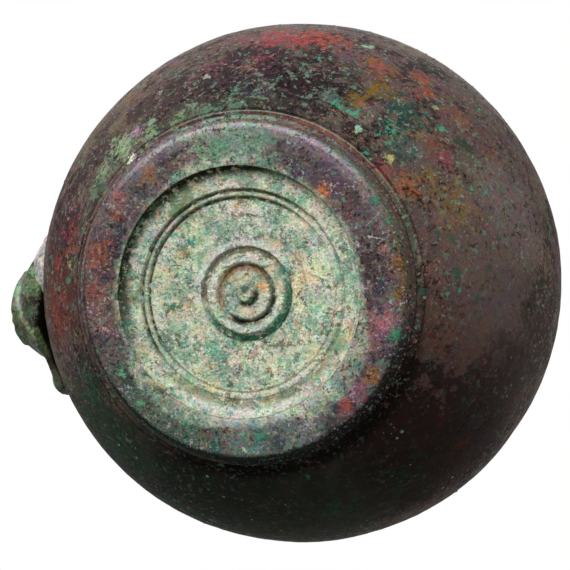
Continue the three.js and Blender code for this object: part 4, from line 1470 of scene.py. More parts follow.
footStains = [
    ((338, 178), 50, (92, 80, 92), 0.9, "broad", 0.8),
    ((118, 262), 30, (62, 56, 66), 0.8, "broad", 0.85),
    ((368, 262), 34, (70, 56, 63), 0.8, "patchy", 0.8),
    ((368, 328), 36, (130, 98, 106), 0.75, "patchy", 0.8),
    ((98, 320), 30, (120, 96, 93), 0.8, "patchy", 0.75),
    ((230, 140), 66, (126, 150, 128), 0.9, "patchy", 0.88),
    ((236, 146), 50, (84, 124, 104), 0.1, "flaked", 0.75),
    ((200, 150), 44, (136, 112, 84), 0.1, "flaked", 0.7),
    ((280, 436), 76, (108, 120, 112), 1.0, "patchy", 0.9),
    ((160, 400), 70, (92, 106, 94), 1.0, "patchy", 0.9),
    ((128, 378), 20, (62, 70, 66), 0.8, "speckled", 0.8),
    ((190, 424), 60, (52, 104, 88), 0.15, "flaked", 0.8),
    ((276, 438), 60, (64, 58, 72), 0.2, "flaked", 0.8),
    ((250, 436), 60, (84, 146, 122), 0.05, "flaked", 0.8),
    ((300, 428), 40, (146, 132, 142), 0.05, "flaked", 0.7),
    ((97, 256), 28, (142, 88, 74), 0.7, "speckled", 0.75),
    ((93, 292), 24, (132, 82, 74), 0.7, "speckled", 0.75),
    ((116, 197), 18, (144, 98, 98), 0.8, "blotchy", 0.75),
    ((115, 214), 12, (148, 78, 70), 0.8, "speckled", 0.75),
    ((100, 246), 9, (146, 92, 66), 0.7, "speckled", 0.75),
    ((150, 174), 18, (132, 102, 78), 0.8, "patchy", 0.8),
    ((158, 176), 6, (84, 78, 90), 0.8, "grainy", 0.8),
    ((322, 192), 12, (176, 108, 68), 0.9, "speckled", 0.85),
    ((331, 204), 9, (150, 92, 72), 0.7, "speckled", 0.8),
    ((350, 206), 18, (110, 80, 76), 0.8, "patchy", 0.8),
    ((385, 250), 9, (160, 108, 100), 0.8, "speckled", 0.85),
    ((398, 262), 17, (124, 88, 42), 0.6, "speckled", 0.85),
    ((400, 290), 15, (128, 92, 44), 0.6, "speckled", 0.85),
    ((384, 324), 17, (172, 116, 122), 0.8, "speckled", 0.85),
    ((366, 346), 12, (128, 90, 108), 0.6, "speckled", 0.8),
    ((346, 374), 12, (164, 104, 90), 0.8, "speckled", 0.85),
    ((346, 404), 12, (158, 84, 66), 0.8, "speckled", 0.85),
    ((356, 388), 19, (144, 92, 116), 0.75, "speckled", 0.85),
    ((372, 376), 14, (140, 104, 48), 0.7, "speckled", 0.85),
    ((216, 446), 20, (56, 96, 86), 0.6, "patchy", 0.8),
    ((332, 426), 18, (62, 58, 64), 0.7, "patchy", 0.8),
    ((240, 426), 7, (132, 92, 104), 0.7, "grainy", 0.8),
]
recessCreep = [  # where the recess's crust has crept over the foot; its colour comes from the recess
    ((158, 376), 22, 0.6, "patchy", 0.9),
    ((200, 416), 22, 0.5, "patchy", 0.85),
    ((308, 414), 24, 0.5, "patchy", 0.85),
    ((240, 150), 26, 0.2, "speckled", 0.75),
]
recessCentre = foot["offCentre"]
creepLobes = [(312, 34, 3.6), (228, 36, 4.6), (88, 34, 2.4)]  # heading and spread in degrees, reach in mm
footCrusts = [
    ((214, 148), 30, (104, 156, 128), 0.2, "flecked", 0.85),
    ((262, 140), 30, (112, 160, 134), 0.1, "flecked", 0.8),
    ((252, 134), 14, (140, 172, 144), 0.3, "grainy", 0.8),
    ((112, 207), 8, (160, 180, 162), 0.4, "grainy", 0.8),
    ((120, 374), 9, (110, 160, 132), 0.5, "flecked", 0.85),
    ((140, 404), 14, (104, 152, 116), 0.3, "flecked", 0.85),
    ((258, 436), 18, (72, 136, 114), 0.4, "flecked", 0.85),
    ((190, 420), 34, (92, 150, 124), 0.1, "flecked", 0.85),
    ((300, 444), 20, (120, 144, 126), 0.1, "flecked", 0.8),
    ((244, 450), 4, (190, 206, 180), 0.8, "grainy", 0.85),
    ((395, 334), 11, (64, 134, 106), 0.7, "flecked", 0.88),
    ((384, 366), 12, (96, 142, 122), 0.4, "flecked", 0.85),
    ((371, 232), 14, (76, 132, 110), 0.0, "flecked", 0.8),
    ((376, 200), 10, teal, 0.5, "flecked", 0.85),
    ((388, 222), 10, teal, 0.5, "flecked", 0.85),
    ((395, 246), 7, teal, 0.5, "flecked", 0.85),
]
recessStains = [
    ((165, 338), 26, (104, 116, 102), 0.5, "speckled", 0.8),
    ((196, 352), 60, (140, 170, 150), 0.4, "patchy", 0.75),
    ((206, 350), 60, (92, 150, 132), 0.1, "flaked", 0.75),
    ((284, 214), 44, (138, 172, 150), 0.4, "patchy", 0.75),
    ((290, 226), 50, (96, 160, 140), 0.1, "flaked", 0.8),
    ((222, 234), 16, (112, 150, 130), 0.6, "speckled", 0.75),
    ((222, 238), 8, (98, 104, 108), 0.6, "grainy", 0.8),
    ((203, 240), 14, (184, 144, 102), 0.3, "speckled", 0.8),
    ((182, 254), 14, (196, 150, 108), 0.3, "speckled", 0.85),
    ((190, 303), 14, (170, 132, 92), 0.6, "speckled", 0.8),
    ((158, 282), 26, (196, 198, 170), 0.6, "patchy", 0.75),
    ((248, 184), 34, (160, 140, 106), 0.1, "speckled", 0.75),
    ((310, 186), 22, (136, 152, 108), 0.4, "patchy", 0.75),
    ((300, 222), 26, (206, 200, 176), 0.5, "patchy", 0.75),
    ((272, 230), 22, (102, 116, 108), 0.1, "flecked", 0.8),
    ((261, 236), 6, (120, 92, 100), 0.7, "grainy", 0.85),
    ((285, 238), 9, (98, 96, 104), 0.6, "grainy", 0.85),
    ((254, 354), 8, (132, 126, 140), 0.8, "speckled", 0.85),
    ((218, 372), 18, (96, 96, 106), 0.1, "flecked", 0.85),
    ((176, 328), 20, (112, 118, 122), 0.0, "flecked", 0.8),
    ((268, 344), 20, (112, 160, 140), 0.2, "speckled", 0.75),
    ((316, 308), 24, (108, 172, 144), 0.3, "speckled", 0.8),
    ((328, 322), 16, (88, 158, 132), 0.3, "speckled", 0.85),
    ((346, 280), 22, (132, 180, 152), 0.4, "flaked", 0.8),
    ((326, 262), 38, (200, 212, 188), 0.5, "patchy", 0.75),
    ((262, 287), 10, (208, 150, 96), 0.75, "speckled", 0.88),
    ((252, 312), 16, (212, 190, 156), 0.4, "speckled", 0.8),
    ((222, 304), 14, (196, 160, 122), 0.3, "speckled", 0.8),
    ((270, 268), 9, (206, 170, 138), 0.7, "speckled", 0.8),
    ((230, 272), 9, (160, 108, 58), 0.8, "speckled", 0.85),
    ((246, 276), 13, (216, 190, 160), 0.5, "speckled", 0.75),
    ((244, 306), 13, (224, 196, 168), 0.5, "speckled", 0.75),
    # Painted highlight on the boss.
    ((244.6, 294.6), 2.4, (216, 210, 182), 1.0, "grainy", 0.85),
    ((251, 293), 3, (128, 138, 120), 1.0, "grainy", 0.85),
    ((262, 266), 14, (150, 116, 70), 0.3, "speckled", 0.8),
    ((236, 268), 9, (160, 118, 72), 0.5, "speckled", 0.8),
    ((196, 338), 17, (220, 206, 180), 0.75, "patchy", 0.85),
    ((304, 276), 20, (224, 206, 168), 0.75, "patchy", 0.85),
    ((318, 352), 26, (204, 204, 172), 0.5, "patchy", 0.75),
    ((262, 392), 34, (206, 202, 172), 0.6, "patchy", 0.75),
    ((212, 388), 16, (214, 190, 160), 0.5, "speckled", 0.85),
    ((250, 414), 40, (204, 204, 204), 0.5, "speckled", 0.7),
    ((182, 205), 26, (116, 130, 98), 0.8, "broad", 0.8),
    ((132, 300), 20, (128, 138, 104), 0.5, "patchy", 0.8),
]
recessCrusts = [
    ((244.6, 288.2), 4.4, (84, 96, 102), 1.0, "grainy", 0.9),
    ((191, 243), 7, (60, 148, 128), 0.7, "flecked", 0.9),
    ((172, 306), 8, (66, 136, 110), 0.4, "grainy", 0.85),
    ((216, 268), 16, (96, 146, 122), 0.0, "flecked", 0.8),
    ((274, 296), 12, (66, 128, 104), 0.1, "flecked", 0.8),
]

# Bands round with the turning, some of them painted highlight or shade on one side: centre, radius, half
# width, colour, strength, heading and spread in degrees

seamLine = shell["seamRadius"] + shell["lineOut"]
bellyBands = [
    ((0, 0), seamLine + 2.6, 1.8, (92, 112, 88), 0.15, 62, 40),
    # Painted highlight along the raised line on its upper, lit side.
    ((0, 0), seamLine, 0.16, (168, 158, 146), 0.5, 112, 40),
    ((0, 0), seamLine, 0.14, (122, 102, 88), 0.4, 30, 60),
    ((0, 0), seamLine - 0.75, 0.45, (128, 76, 62), 0.6, 132, 24),
    ((0, 0), seamLine - 0.75, 0.45, (44, 84, 68), 0.6, 164, 14),
    ((0, 0), seamLine - 0.75, 0.2, (96, 54, 48), 0.5, 10, 30),
    ((0, 0), seamLine + 0.6, 0.25, (26, 22, 22), 0.6, 0, 180),
    # Painted shade on the belly beside the foot on its lower side.
    ((0, 0), seamLine + 0.4, 2.2, (24, 23, 21), 0.85, 254, 46),
]
footBands = [
    # The next three rows: a pale worn edge that is also a painted highlight on top of the foot's rounding
    # (first and third), and a painted highlight along the recess's lower edge (second).
    ((0, 0), 42.0, 2.0, (160, 154, 160), 0.4, 108, 54),
    (recessCentre, 32.5, 2.0, (192, 198, 192), 0.62, 266, 32),
    ((0, 0), 42.5, 0.6, (206, 202, 206), 0.35, 100, 48),
    ((0, 0), 43.7, 0.45, (92, 60, 52), 0.7, 118, 30),
    ((0, 0), 43.3, 0.4, (76, 138, 114), 0.55, 154, 20),
    # Painted shade on the foot's rounding on its lower side.
    ((0, 0), 43.4, 0.8, (30, 28, 26), 0.85, 244, 36),
    ((0, 0), 44.5, 0.9, (84, 70, 62), 0.8, 172, 32),
    # Painted shade on the foot's outer wall on its lower side.
    ((0, 0), 44.5, 0.9, (34, 28, 26), 0.9, 240, 38),
    ((0, 0), 42.4, 1.3, (112, 82, 42), 0.5, 169, 14),
    ((0, 0), 43.2, 0.8, (36, 62, 52), 0.75, 300, 42),
    ((0, 0), 43.3, 0.6, (30, 34, 30), 0.7, 345, 30),
]
pairSpot, ringSpot = ([part / mm for part in disc[key][:2]] for key in ("Pair Centre", "Ring Centre"))
recessBands = [
    # The next two rows are the recess wall's painted shadow on its upper-left side.
    (recessCentre, disc["Radius"] / mm - 0.6, 1.7, (52, 58, 38), 0.8, 44, 58),
    (recessCentre, disc["Radius"] / mm - 0.3, 0.8, (34, 36, 22), 0.8, 62, 58),
    # Painted highlight on the lower wall of the cove.
    (recessCentre, 30.6, 1.0, (206, 206, 206), 0.6, 270, 34),
    (recessCentre, 28.6, 1.0, (128, 126, 92), 0.55, 272, 50),
    # The next two rows are painted shade in the pair's grooves on the side away from the light.
    (pairSpot, disc["Pair Inner"] / mm, 0.42, (44, 44, 28), 0.9, 52, 82),
    (pairSpot, disc["Pair Outer"] / mm, 0.42, (44, 44, 28), 0.9, 52, 82),
    (pairSpot, (disc["Pair Inner"] + disc["Pair Outer"]) / 2 / mm, 0.4, (178, 186, 162), 0.5, 50, 100),
    (pairSpot, disc["Pair Outer"] / mm, 0.3, (98, 104, 82), 0.6, 180, 40),
    (pairSpot, disc["Pair Outer"] / mm + 0.2, 0.4, (86, 90, 72), 0.55, 270, 40),
    # Painted highlight inside the pair on the lower side.
    (pairSpot, disc["Pair Inner"] / mm - 0.6, 0.6, (212, 202, 176), 0.55, 262, 52),
    # Painted shadow of the plateau's edge in the inner groove on the lower right.
    (ringSpot, disc["Inner Floor"] / mm, 0.65, (34, 24, 18), 0.95, 244, 70),
    (ringSpot, disc["Inner Floor"] / mm - 0.6, 0.6, (64, 104, 88), 0.6, 180, 60),
    (ringSpot, disc["Inner Floor"] / mm - 0.5, 0.8, (126, 84, 42), 0.75, 78, 80),
    (ringSpot, disc["Outer Floor"] / mm - 0.6, 0.9, (40, 122, 100), 0.9, 246, 92),
    (ringSpot, disc["Outer Floor"] / mm + 0.1, 0.35, (34, 40, 30), 0.9, 245, 75),
    (ringSpot, disc["Outer Floor"] / mm - 0.6, 0.8, (76, 70, 44), 0.8, 72, 74),
    (ringSpot, 13.1, 0.8, (208, 214, 208), 0.75, 66, 70),
    (ringSpot, disc["Ring Middle"] / mm, 0.6, (206, 220, 208), 0.5, 70, 70),
    (ringSpot, disc["Ring Middle"] / mm, 0.7, (214, 226, 212), 0.6, 260, 70),
    # Painted shadow of the boss on its lower right.
    (ringSpot, 2.75, 0.6, (38, 28, 17), 0.95, 238, 78),
    (ringSpot, 2.45, 0.25, (96, 88, 66), 0.6, 65, 90),
    (ringSpot, 16.2, 0.35, (92, 108, 98), 0.5, 145, 30),
]
footScratches = [  # from one pixel to another, half width in pixels, colour, strength
    ((368, 236), (397, 242), 0.45, (206, 196, 196), 0.85),
    ((366, 226), (380, 212), 0.4, (170, 160, 160), 0.6),
]
bellyVeils = [  # wide soft washes under the growths: pixel, reach in pixels, colour, strength
    ((470, 390), 180, (56, 46, 44), 0.85),
    ((420, 460), 150, (42, 35, 33), 0.92),
    ((300, 520), 150, (48, 50, 44), 0.92),
    ((170, 490), 120, (44, 52, 45), 0.9),
    ((100, 430), 80, (44, 56, 48), 0.8),
    ((484, 290), 100, (94, 81, 77), 0.75),
    ((514, 212), 80, (112, 100, 98), 0.65),
    ((440, 314), 42, (90, 73, 66), 0.6),
    ((432, 356), 50, (46, 38, 37), 0.9),
    ((112, 160), 28, (98, 112, 92), 0.45),
    ((142, 130), 28, (100, 114, 94), 0.45),
    ((184, 112), 26, (88, 106, 90), 0.4),
    ((532, 366), 60, (66, 55, 52), 0.7),
]
bellyCalm = [  # smoother skin: pixel, reach in pixels, share of the specks and grain that go
    ((480, 400), 130, 0.75),
    ((400, 470), 140, 0.8),
    ((290, 515), 120, 0.75),
    ((130, 450), 80, 0.5),
    ((500, 300), 90, 0.45),
]
recessScratches = [((296, 298), (300, 291), 0.7, (50, 44, 34), 0.8)]
# Painted highlight along the leaf's ridge, in soft washes: pixel, reach in pixels, colour, strength.
leafPaintedHighlight = [
    ((20, 288), 12, (128, 150, 126), 0.8),
    ((18, 301), 12, (126, 146, 122), 0.8),
    ((20.5, 290), 6, (168, 188, 166), 0.7),
    ((19, 299), 6, (164, 184, 160), 0.7),
    ((19.5, 307), 6, (158, 176, 150), 0.7),
    ((22, 315), 6, (146, 162, 130), 0.75),
    ((25, 321), 5, (138, 152, 118), 0.75),
    ((28.5, 327), 4.5, (140, 148, 114), 0.75),
    ((32, 333), 4, (142, 144, 112), 0.75),
    ((35, 339), 3.5, (140, 140, 110), 0.7),
]
leafStains = [
    ((34, 270), 8, (128, 152, 120), 0.8, "speckled", 0.75),
    ((27, 286), 9, (92, 112, 80), 0.7, "speckled", 0.7),
    # The next three rows are painted shade on the underside of the leaf's tip.
    ((35, 303), 9, (34, 32, 24), 0.9, "patchy", 0.9),
    ((37, 320), 10, (30, 27, 22), 0.9, "patchy", 0.9),
    ((36, 334), 8, (34, 30, 25), 0.9, "patchy", 0.9),
    ((17, 316), 9, (64, 74, 52), 0.8, "patchy", 0.8),
    ((24, 332), 9, (46, 48, 36), 0.8, "patchy", 0.8),
    ((34, 346), 9, (44, 44, 36), 0.8, "patchy", 0.8),
    ((51, 364), 9, (52, 52, 42), 0.9, "patchy", 0.8),
    ((58, 386), 8, (104, 112, 96), 0.7, "speckled", 0.8),
    # The next two rows are painted shadow in the gap between the leaf's tip and the belly.
    ((39, 306), 7, (16, 14, 12), 0.9, "patchy", 0.95),
    ((39, 320), 8, (14, 12, 11), 0.9, "patchy", 0.95),
    ((39, 277), 8, (196, 190, 192), 0.6, "speckled", 0.8),
    ((41, 291), 6, (176, 168, 172), 0.5, "speckled", 0.8),
]


def hitsFor(pieces):
    trees = []
    for piece in pieces:
        piece.data.calc_loop_triangles()
        triangles = [tuple(t.vertices) for t in piece.data.loop_triangles]
        trees.append(BVHTree.FromPolygons([v.co.copy() for v in piece.data.vertices], triangles))
    return trees


def placeOn(trees, pixel):  # where a pixel of the photograph falls on the jug, and its size there, in mm
    start = cameraPlace() * mm
    hits = [tree.ray_cast(start, photoRay(pixel)) for tree in trees]
    near = min((hit for hit in hits if hit[0] is not None), key=lambda hit: hit[3])
    return near[0] / mm, near[3] / mm / view["pixelsPerTangent"]


swirlMiddle = Vector((2.5, 2.5, 2.5))  # how far the swirl moves a place on the whole
brush = {  # sizes in millimetres, the rest are levels and shares of the noises
    "swirl": 7,
    "fine": 1.1,
    "grain": 0.5,
    "grainHeight": 0.35,
    "fray": 0.2,  # how far the grain frays the edge of a growth
    "farPixel": 0.265,  # size of a pixel on the sides that the photograph doesn't show
    "speckPatch": (0.38, 0.58),
    "fall": 0.24,  # how a growth thins out towards its reach
    "stainLevel": 0.72,
    "crustLevel": 0.74,
    "coverGain": 0.2,
    "stainSoft": 0.1,
    "crustSoft": (0.13, 0.22),
    "crustGrain": 0.3,
    "crustRise": 0.4,
    "veilCore": 0.35,  # share of the reach where a wash is full
    "calmCore": 0.4,
    "creepTint": (0.7, 0.74, 0.72),  # what crept out is thinner and darker
    "creepRagged": (3.0, 5.0),  # size and amount
    "creepEdge": (4.2, 2.2),
    "creepStrength": 0.8,
    "creepSoft": 0.16,
    "bandHeight": (30, 20),  # bands only show below these heights
    "bandRagged": 1.6,
    "bandEdge": (1.6, 0.3),  # in half widths
    "bandEnds": 18,  # degrees over which an end fades
    "scratchRagged": 2,
    "scratchEdge": (2.7, 1.3),
    "grainPatch": 6.0,
    "grainFrom": (0.4, 0.6),
    "grainMore": 1.2,
    "darkest": 0.15,
    "roughFrom": (0.35, 0.65),
    "bumpDepth": 0.6,
}


class Skin:  # the colour and height of one surface as they are built up
    def __init__(self, g, finish, trees):
        self.g, self.trees = g, trees
        self.place = g.vector("SCALE", g.add("ShaderNodeTexCoord").outputs["Object"])
        self.place.node.inputs["Scale"].default_value = 1 / mm
        # Cycles holds few values at once: the swirl goes over in parts and the frayed place is known late
        swirl = g.noise(self.place, brush["swirl"], 3.0, 0.5, out="Color")
        parts = g.add("ShaderNodeSeparateColor", {0: swirl}).outputs
        swirl = g.add("ShaderNodeCombineXYZ", enumerate(parts)).outputs[0]
        self.bent = g.vector("MULTIPLY_ADD", swirl, tuple(2 * swirlMiddle), self.place)
        self.fine = g.noise(self.place, brush["fine"], 4.0, 0.68, 0.9)
        self.grain = g.noise(self.place, brush["grain"], 3.0, 0.7, 2.2)
        self.height = g.math("MULTIPLY_ADD", self.grain, brush["grainHeight"], self.fine)
        self.frayed = g.vector("MULTIPLY_ADD", self.grain, (brush["fray"],) * 3, self.place)
        self.colour = tone(finish["ground"])
        self.lifted = {}
        self.lively = 1.0

    def calm(self, rows):
        for pixel, reach, amount in rows:
            spot, perPixel = self.spotOf(pixel)
            away = self.g.vector("DISTANCE", self.place, tuple(spot), out=1)
            mask = self.g.band(away, reach * perPixel, reach * perPixel * brush["calmCore"], amount)
            self.lively = self.g.math("MULTIPLY", self.lively, self.g.math("SUBTRACT", 1.0, mask))

    def spotOf(self, pixel):  # a pixel of the photograph, or a place on a side it doesn't show
        return (Vector(pixel), brush["farPixel"]) if len(pixel) == 3 else placeOn(self.trees, pixel)

    def paint(self, mask, colour):
        self.colour = self.g.mix(mask, self.colour, tone(colour))

    def layers(self, rows):
        for k, (colour, size, start, full, strength) in enumerate(rows):
            field = self.g.noise(self.bent, size, 6.0, 0.7, 1.3 + k)
            self.paint(self.g.band(field, start, full, strength), colour)

    def specks(self, rows):
        for k, (colour, size, start, full, strength) in enumerate(rows):
            field = self.g.noise(self.place, size, 3.0, 0.62, 20.3 + k)
            patch = self.g.noise(self.bent, size * 6, 3.0, 0.6, 30.3 + k)
            patch = self.g.band(patch, *brush["speckPatch"])
            mask = self.g.math("MULTIPLY", self.g.band(field, start, full, strength), patch)
            self.paint(self.g.math("MULTIPLY", mask, self.lively), colour)

    def reached(self, pixel, reach, field):  # over a half inside the reach, less outwards, broken up
        if field not in self.lifted:
            size, shift = fields[field]
            made = self.g.noise(self.bent, size, 6.0, 0.72, shift)
            self.lifted[field] = self.g.math("ADD", made, brush["fall"])
        spot, perPixel = self.spotOf(pixel)
        away = self.g.vector("DISTANCE", self.frayed, tuple(spot), out=1)
        return self.g.math("MULTIPLY_ADD", away, -brush["fall"] / (reach * perPixel), self.lifted[field])

    def stains(self, rows):
        for pixel, reach, colour, cover, field, strength in rows:
            edge = brush["stainLevel"] - brush["coverGain"] * cover
            level = self.reached(pixel, reach, field)
            self.paint(self.g.band(level, edge, edge + brush["stainSoft"], strength), colour)

    def crusts(self, rows):  # raised and crumbling
        for pixel, reach, colour, cover, field, strength in rows:
            edge = brush["crustLevel"] - brush["coverGain"] * cover
            level = self.reached(pixel, reach, field)
            level = self.g.math("MULTIPLY_ADD", self.fine, brush["crustGrain"], level)
            mask = self.g.band(level, *(edge + more for more in brush["crustSoft"]), strength)
            self.paint(mask, colour)
            self.height = self.g.math("MULTIPLY_ADD", mask, brush["crustRise"], self.height)

    def overgrow(self, finish, rows, centre, radius, lobes):  # another finish comes through inside a radius
        kept, self.colour = self.colour, tone(finish["ground"])
        self.layers(finish["layers"])
        grown = self.g.mix(1.0, self.colour, brush["creepTint"], "MULTIPLY")
        self.colour = kept
        out = self.g.vector("SUBTRACT", self.g.vector("MULTIPLY", self.place, (1, 1, 0)), (*centre, 0))
        aim = self.g.vector("NORMALIZE", out)
        away = self.g.vector("LENGTH", out, out=1)
        for heading, spread, more in lobes:
            turn = math.radians(heading)
            side = self.g.vector("DOT_PRODUCT", aim, (math.cos(turn), math.sin(turn), 0), out=1)
            lobe = self.g.band(side, math.cos(math.radians(spread)), 1.0)
            away = self.g.math("MULTIPLY_ADD", lobe, -more, away)
        size, amount = brush["creepRagged"]
        ragged = self.g.math("MULTIPLY_ADD", self.g.noise(self.bent, size, 5.0, 0.65, 8.8), amount, away)
        mask = self.g.band(ragged, *(radius + more for more in brush["creepEdge"]), brush["creepStrength"])
        for pixel, reach, cover, field, strength in rows:
            edge = brush["stainLevel"] - brush["coverGain"] * cover
            spot = self.g.band(self.reached(pixel, reach, field), edge, edge + brush["creepSoft"], strength)
            mask = self.g.math("MAXIMUM", mask, spot)
        self.colour = self.g.mix(mask, self.colour, grown)

    def tint(self, rows):  # each channel wanders by itself
        for k, (size, amount) in enumerate(rows):
            moved = self.g.vector("ADD", self.bent, (7.1 + k, 3.3, 9.7))
            made = self.g.noise(moved, size, 4.0, 0.65, out="Color")
            spread = self.g.mix(1.0, made, (2 * amount,) * 3, "MULTIPLY")
            factor = self.g.mix(1.0, spread, (1 - amount,) * 3, "ADD")
            self.colour = self.g.mix(1.0, self.colour, factor, "MULTIPLY")

    def bands(self, rows):
        if not rows:
            return
        flat = self.g.vector("MULTIPLY", self.frayed, (1, 1, 0))
        height = self.g.add("ShaderNodeSeparateXYZ", {0: self.place}).outputs[2]
        below = self.g.band(height, *brush["bandHeight"])
        ragged = self.g.math("MULTIPLY_ADD", self.fine, brush["bandRagged"], -brush["bandRagged"] / 2)
        for centre, radius, half, colour, strength, heading, spread in rows:
            turn = math.radians(heading)
            out = self.g.vector("SUBTRACT", flat, (*centre, 0))
            reach = self.g.vector("LENGTH", out, out=1)
            away = self.g.math("ABSOLUTE", self.g.math("SUBTRACT", reach, radius))
            away = self.g.math("MULTIPLY_ADD", ragged, half, away)
            mask = self.g.band(away, *(half * edge for edge in brush["bandEdge"]), strength)
            aim = self.g.vector("NORMALIZE", out)
            side = self.g.vector("DOT_PRODUCT", aim, (math.cos(turn), math.sin(turn), 0), out=1)
            if spread < 180:
                fades = (brush["bandEnds"], -brush["bandEnds"])
                ends = [math.cos(math.radians(min(180, spread + fade))) for fade in fades]
                mask = self.g.math("MULTIPLY", mask, self.g.band(side, *ends))
            self.paint(self.g.math("MULTIPLY", mask, below), colour)

    # On the leaf these washes are a painted highlight along its ridge.
    def veils(self, rows):  # soft wide washes of colour
        for pixel, reach, colour, amount in rows:
            spot, perPixel = self.spotOf(pixel)
            away = self.g.vector("DISTANCE", self.bent, tuple(spot + swirlMiddle), out=1)
            full = reach * perPixel
            self.paint(self.g.band(away, full, full * brush["veilCore"], amount), colour)

    def scratches(self, rows):
        for first, last, half, colour, strength in rows:
            (a, perPixel), (b, _) = placeOn(self.trees, first), placeOn(self.trees, last)
            run = b - a
            out = self.g.vector("SUBTRACT", self.place, tuple(a))
            share = self.g.vector("DOT_PRODUCT", out, tuple(run / run.length_squared), out=1)
            share = self.g.math("MINIMUM", self.g.math("MAXIMUM", share, 0.0), 1.0)
            along = self.g.vector("SCALE", tuple(run))
            along.node.inputs["Scale"].default_value = 1.0
            self.g.put(along.node.inputs["Scale"], share)
            away = self.g.vector("DISTANCE", out, along, out=1)
            away = self.g.math("MULTIPLY_ADD", self.fine, half * perPixel * brush["scratchRagged"], away)
            edges = (half * perPixel * edge for edge in brush["scratchEdge"])
            self.paint(self.g.band(away, *edges, strength), colour)


# Besides the patina, the bands, stains and washes given to it carry the painted highlights and shades marked
# in their tables.
def patina(
    name, finish, trees=(), stains=(), crusts=(), bands=(), scratches=(), veils=(), calm=(), crept=None
):
    material = bpy.data.materials.new(name)
    material.use_nodes = True
    g = Tree(material.node_tree)
    skin = Skin(g, finish, trees)
    skin.calm(calm)
    skin.layers(finish["layers"])
    skin.veils(veils)
    skin.stains(stains)
    if crept:
        skin.overgrow(*crept)
    skin.bands(bands)
    skin.tint(finish["tints"])
    skin.specks(finish["specks"])
    skin.crusts(crusts)
    skin.scratches(scratches)
    patch = g.band(g.noise(skin.place, brush["grainPatch"], 3.0, 0.6, 12.4), *brush["grainFrom"])
    depth = g.math("MULTIPLY_ADD", patch, finish["grain"] * brush["grainMore"], finish["grain"])
    depth = g.math("MULTIPLY", depth, skin.lively)
    light = g.math("MULTIPLY_ADD", g.math("SUBTRACT", skin.grain, 0.5), depth, 1.0)
    colour = g.vector("SCALE", skin.colour)
    g.put(colour.node.inputs["Scale"], g.math("MAXIMUM", light, brush["darkest"]))
    low, high = finish["rough"]
    rough = g.math("MULTIPLY_ADD", g.band(skin.fine, *brush["roughFrom"]), high - low, low)
    inputs = {"Strength": finish["bump"], "Distance": brush["bumpDepth"] * mm, "Height": skin.height}
    bump = g.add("ShaderNodeBump", inputs)
    inputs = {"Base Color": colour, "Roughness": rough, "Normal": bump.outputs[0]}
    inputs["Specular IOR Level"] = finish["specular"]
    surface = g.add("ShaderNodeBsdfPrincipled", inputs)
    g.add("ShaderNodeOutputMaterial", {"Surface": surface.outputs[0]})
    return material


discPiece = makeDisc()
trees = hitsFor([shellPiece, footPiece, discPiece])
bellySkin = patina(
    "bellyPatinaAndPaintedLight",
    bellyFinish,
    trees,
    stains=bellyStains + farStains,
    crusts=bellyCrusts,
    bands=bellyBands,
    veils=bellyVeils,
    calm=bellyCalm,
)
finishPiece(shellPiece, bellySkin, "patinated_bronze", "body_shell")
crept = (recessFinish, recessCreep, recessCentre, foot["opening"], creepLobes)
footSkin = patina(
    "footPatinaAndPaintedLight", footFinish, trees, footStains, footCrusts, footBands, footScratches, crept=crept
)
finishPiece(footPiece, footSkin, "foot_patina", "foot_ring")
discSkin = patina(
    "recessCrustAndPaintedLight", recessFinish, trees, recessStains, recessCrusts, recessBands, recessScratches
)
finishPiece(discPiece, discSkin, "recess_crust", "base_disc")
handleMetal = patina("handlePatina", handleFinish)
finishPiece(handlePiece, handleMetal, "handle_bronze", "handle")
leafTrees = hitsFor([leafPiece, leafBed, shellPiece])
# The leaf's washes paint a highlight on its ridge, and some of its stains paint shade under its tip.
leafSkin = patina("leafPatinaAndPaintedLight", handleFinish, leafTrees, leafStains, veils=leafPaintedHighlight)
finishPiece(leafPiece, leafSkin, "handle_bronze", "leaf_plate")
solderMetal = patina("paleSolder", solderFinish)
finishPiece(leafBed, solderMetal, "solder", "leaf_solder")
lipRun = solderRun("lipSolder", lipSolderPath(), False, solderMetal, solderDrops)
finishPiece(lipRun, solderMetal, "solder", "lip_solder")
baseRun = solderRun("baseSolder", baseSolderPath(), True, solderMetal, solderDrops)
finishPiece(baseRun, solderMetal, "solder", "base_solder")
wartMetal = patina("wartCrust", wartFinish)
shellWarts = makeWarts("bellyWarts", shellPiece, wartMetal)
finishPiece(shellWarts, wartMetal, "patinated_bronze")
print("finishes and corrosion made")

# Studio: a pale floor that is open from below, soft lamps, a white background

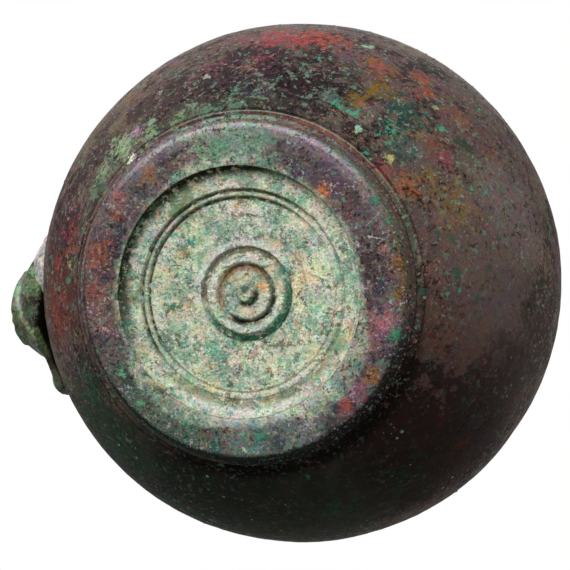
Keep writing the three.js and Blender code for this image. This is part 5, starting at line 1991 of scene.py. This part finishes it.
studio = {
    "floorSize": 6.0,  # metres
    "floorColour": (0.80, 0.80, 0.79, 1.0),
    "floorUnder": 0.0004,  # metres under the foot
    "ambient": 0.11,
    "lamps": [  # place in metres from the belly's middle, width in metres, light level at the belly
        ("keyLamp", (0.32, 0.95, -0.9), 0.8, 0.95),
        ("rightLamp", (-0.8, 0.45, -0.85), 1.0, 0.36),
        ("topLamp", (0.25, 0.65, 1.25), 1.2, 0.75),
        ("sideLamp", (-0.9, -0.7, 1.4), 0.9, 0.28),
    ],
}


def makeFloor():
    half = studio["floorSize"] / 2
    corners = [(-half, -half), (half, -half), (half, half), (-half, half)]
    mesh = bpy.data.meshes.new("floor")
    mesh.from_pydata([(x, y, -studio["floorUnder"]) for x, y in corners], [], [(0, 1, 2, 3)])
    floor = newObject("floor", mesh)
    material = bpy.data.materials.new("paleFloor")
    material.use_nodes = True
    g = Tree(material.node_tree)
    paint = g.add("ShaderNodeBsdfDiffuse", {"Color": studio["floorColour"]}).outputs[0]
    clear = g.add("ShaderNodeBsdfTransparent").outputs[0]
    below = g.add("ShaderNodeNewGeometry").outputs["Backfacing"]
    shadow = g.add("ShaderNodeLightPath").outputs["Is Shadow Ray"]
    either = g.math("MAXIMUM", below, shadow)
    surface = g.add("ShaderNodeMixShader", {0: either, 1: paint, 2: clear}).outputs[0]
    g.add("ShaderNodeOutputMaterial", {"Surface": surface})
    mesh.materials.append(material)


def makeWorld():
    world = bpy.data.worlds.new("studio")
    bpy.context.scene.world = world
    world.use_nodes = True
    g = Tree(world.node_tree)
    path = g.add("ShaderNodeLightPath").outputs
    seen = g.math("MAXIMUM", path["Is Camera Ray"], path["Is Glossy Ray"])
    seen = g.math("MAXIMUM", seen, path["Is Transmission Ray"])
    level = g.math("MULTIPLY_ADD", seen, 1 - studio["ambient"], studio["ambient"])
    light = g.add("ShaderNodeBackground", {"Color": (1, 1, 1, 1), "Strength": level}).outputs[0]
    g.add("ShaderNodeOutputWorld", {"Surface": light})


def makeLamps():
    middle = Vector((0, 0, shell["bellyHeight"] * mm))
    for name, place, width, level in studio["lamps"]:
        data = bpy.data.lights.new(name, "AREA")
        data.shape = "DISK"
        data.size = width
        away = Vector(place)
        data.energy = level * math.pi**2 * away.length_squared
        lamp = newObject(name, data)
        lamp.location = middle + away
        lamp.rotation_euler = away.to_track_quat("Z", "Y").to_euler()


makeFloor()
makeWorld()
makeLamps()
bpy.context.scene.view_settings.view_transform = "Standard"
print("studio made")
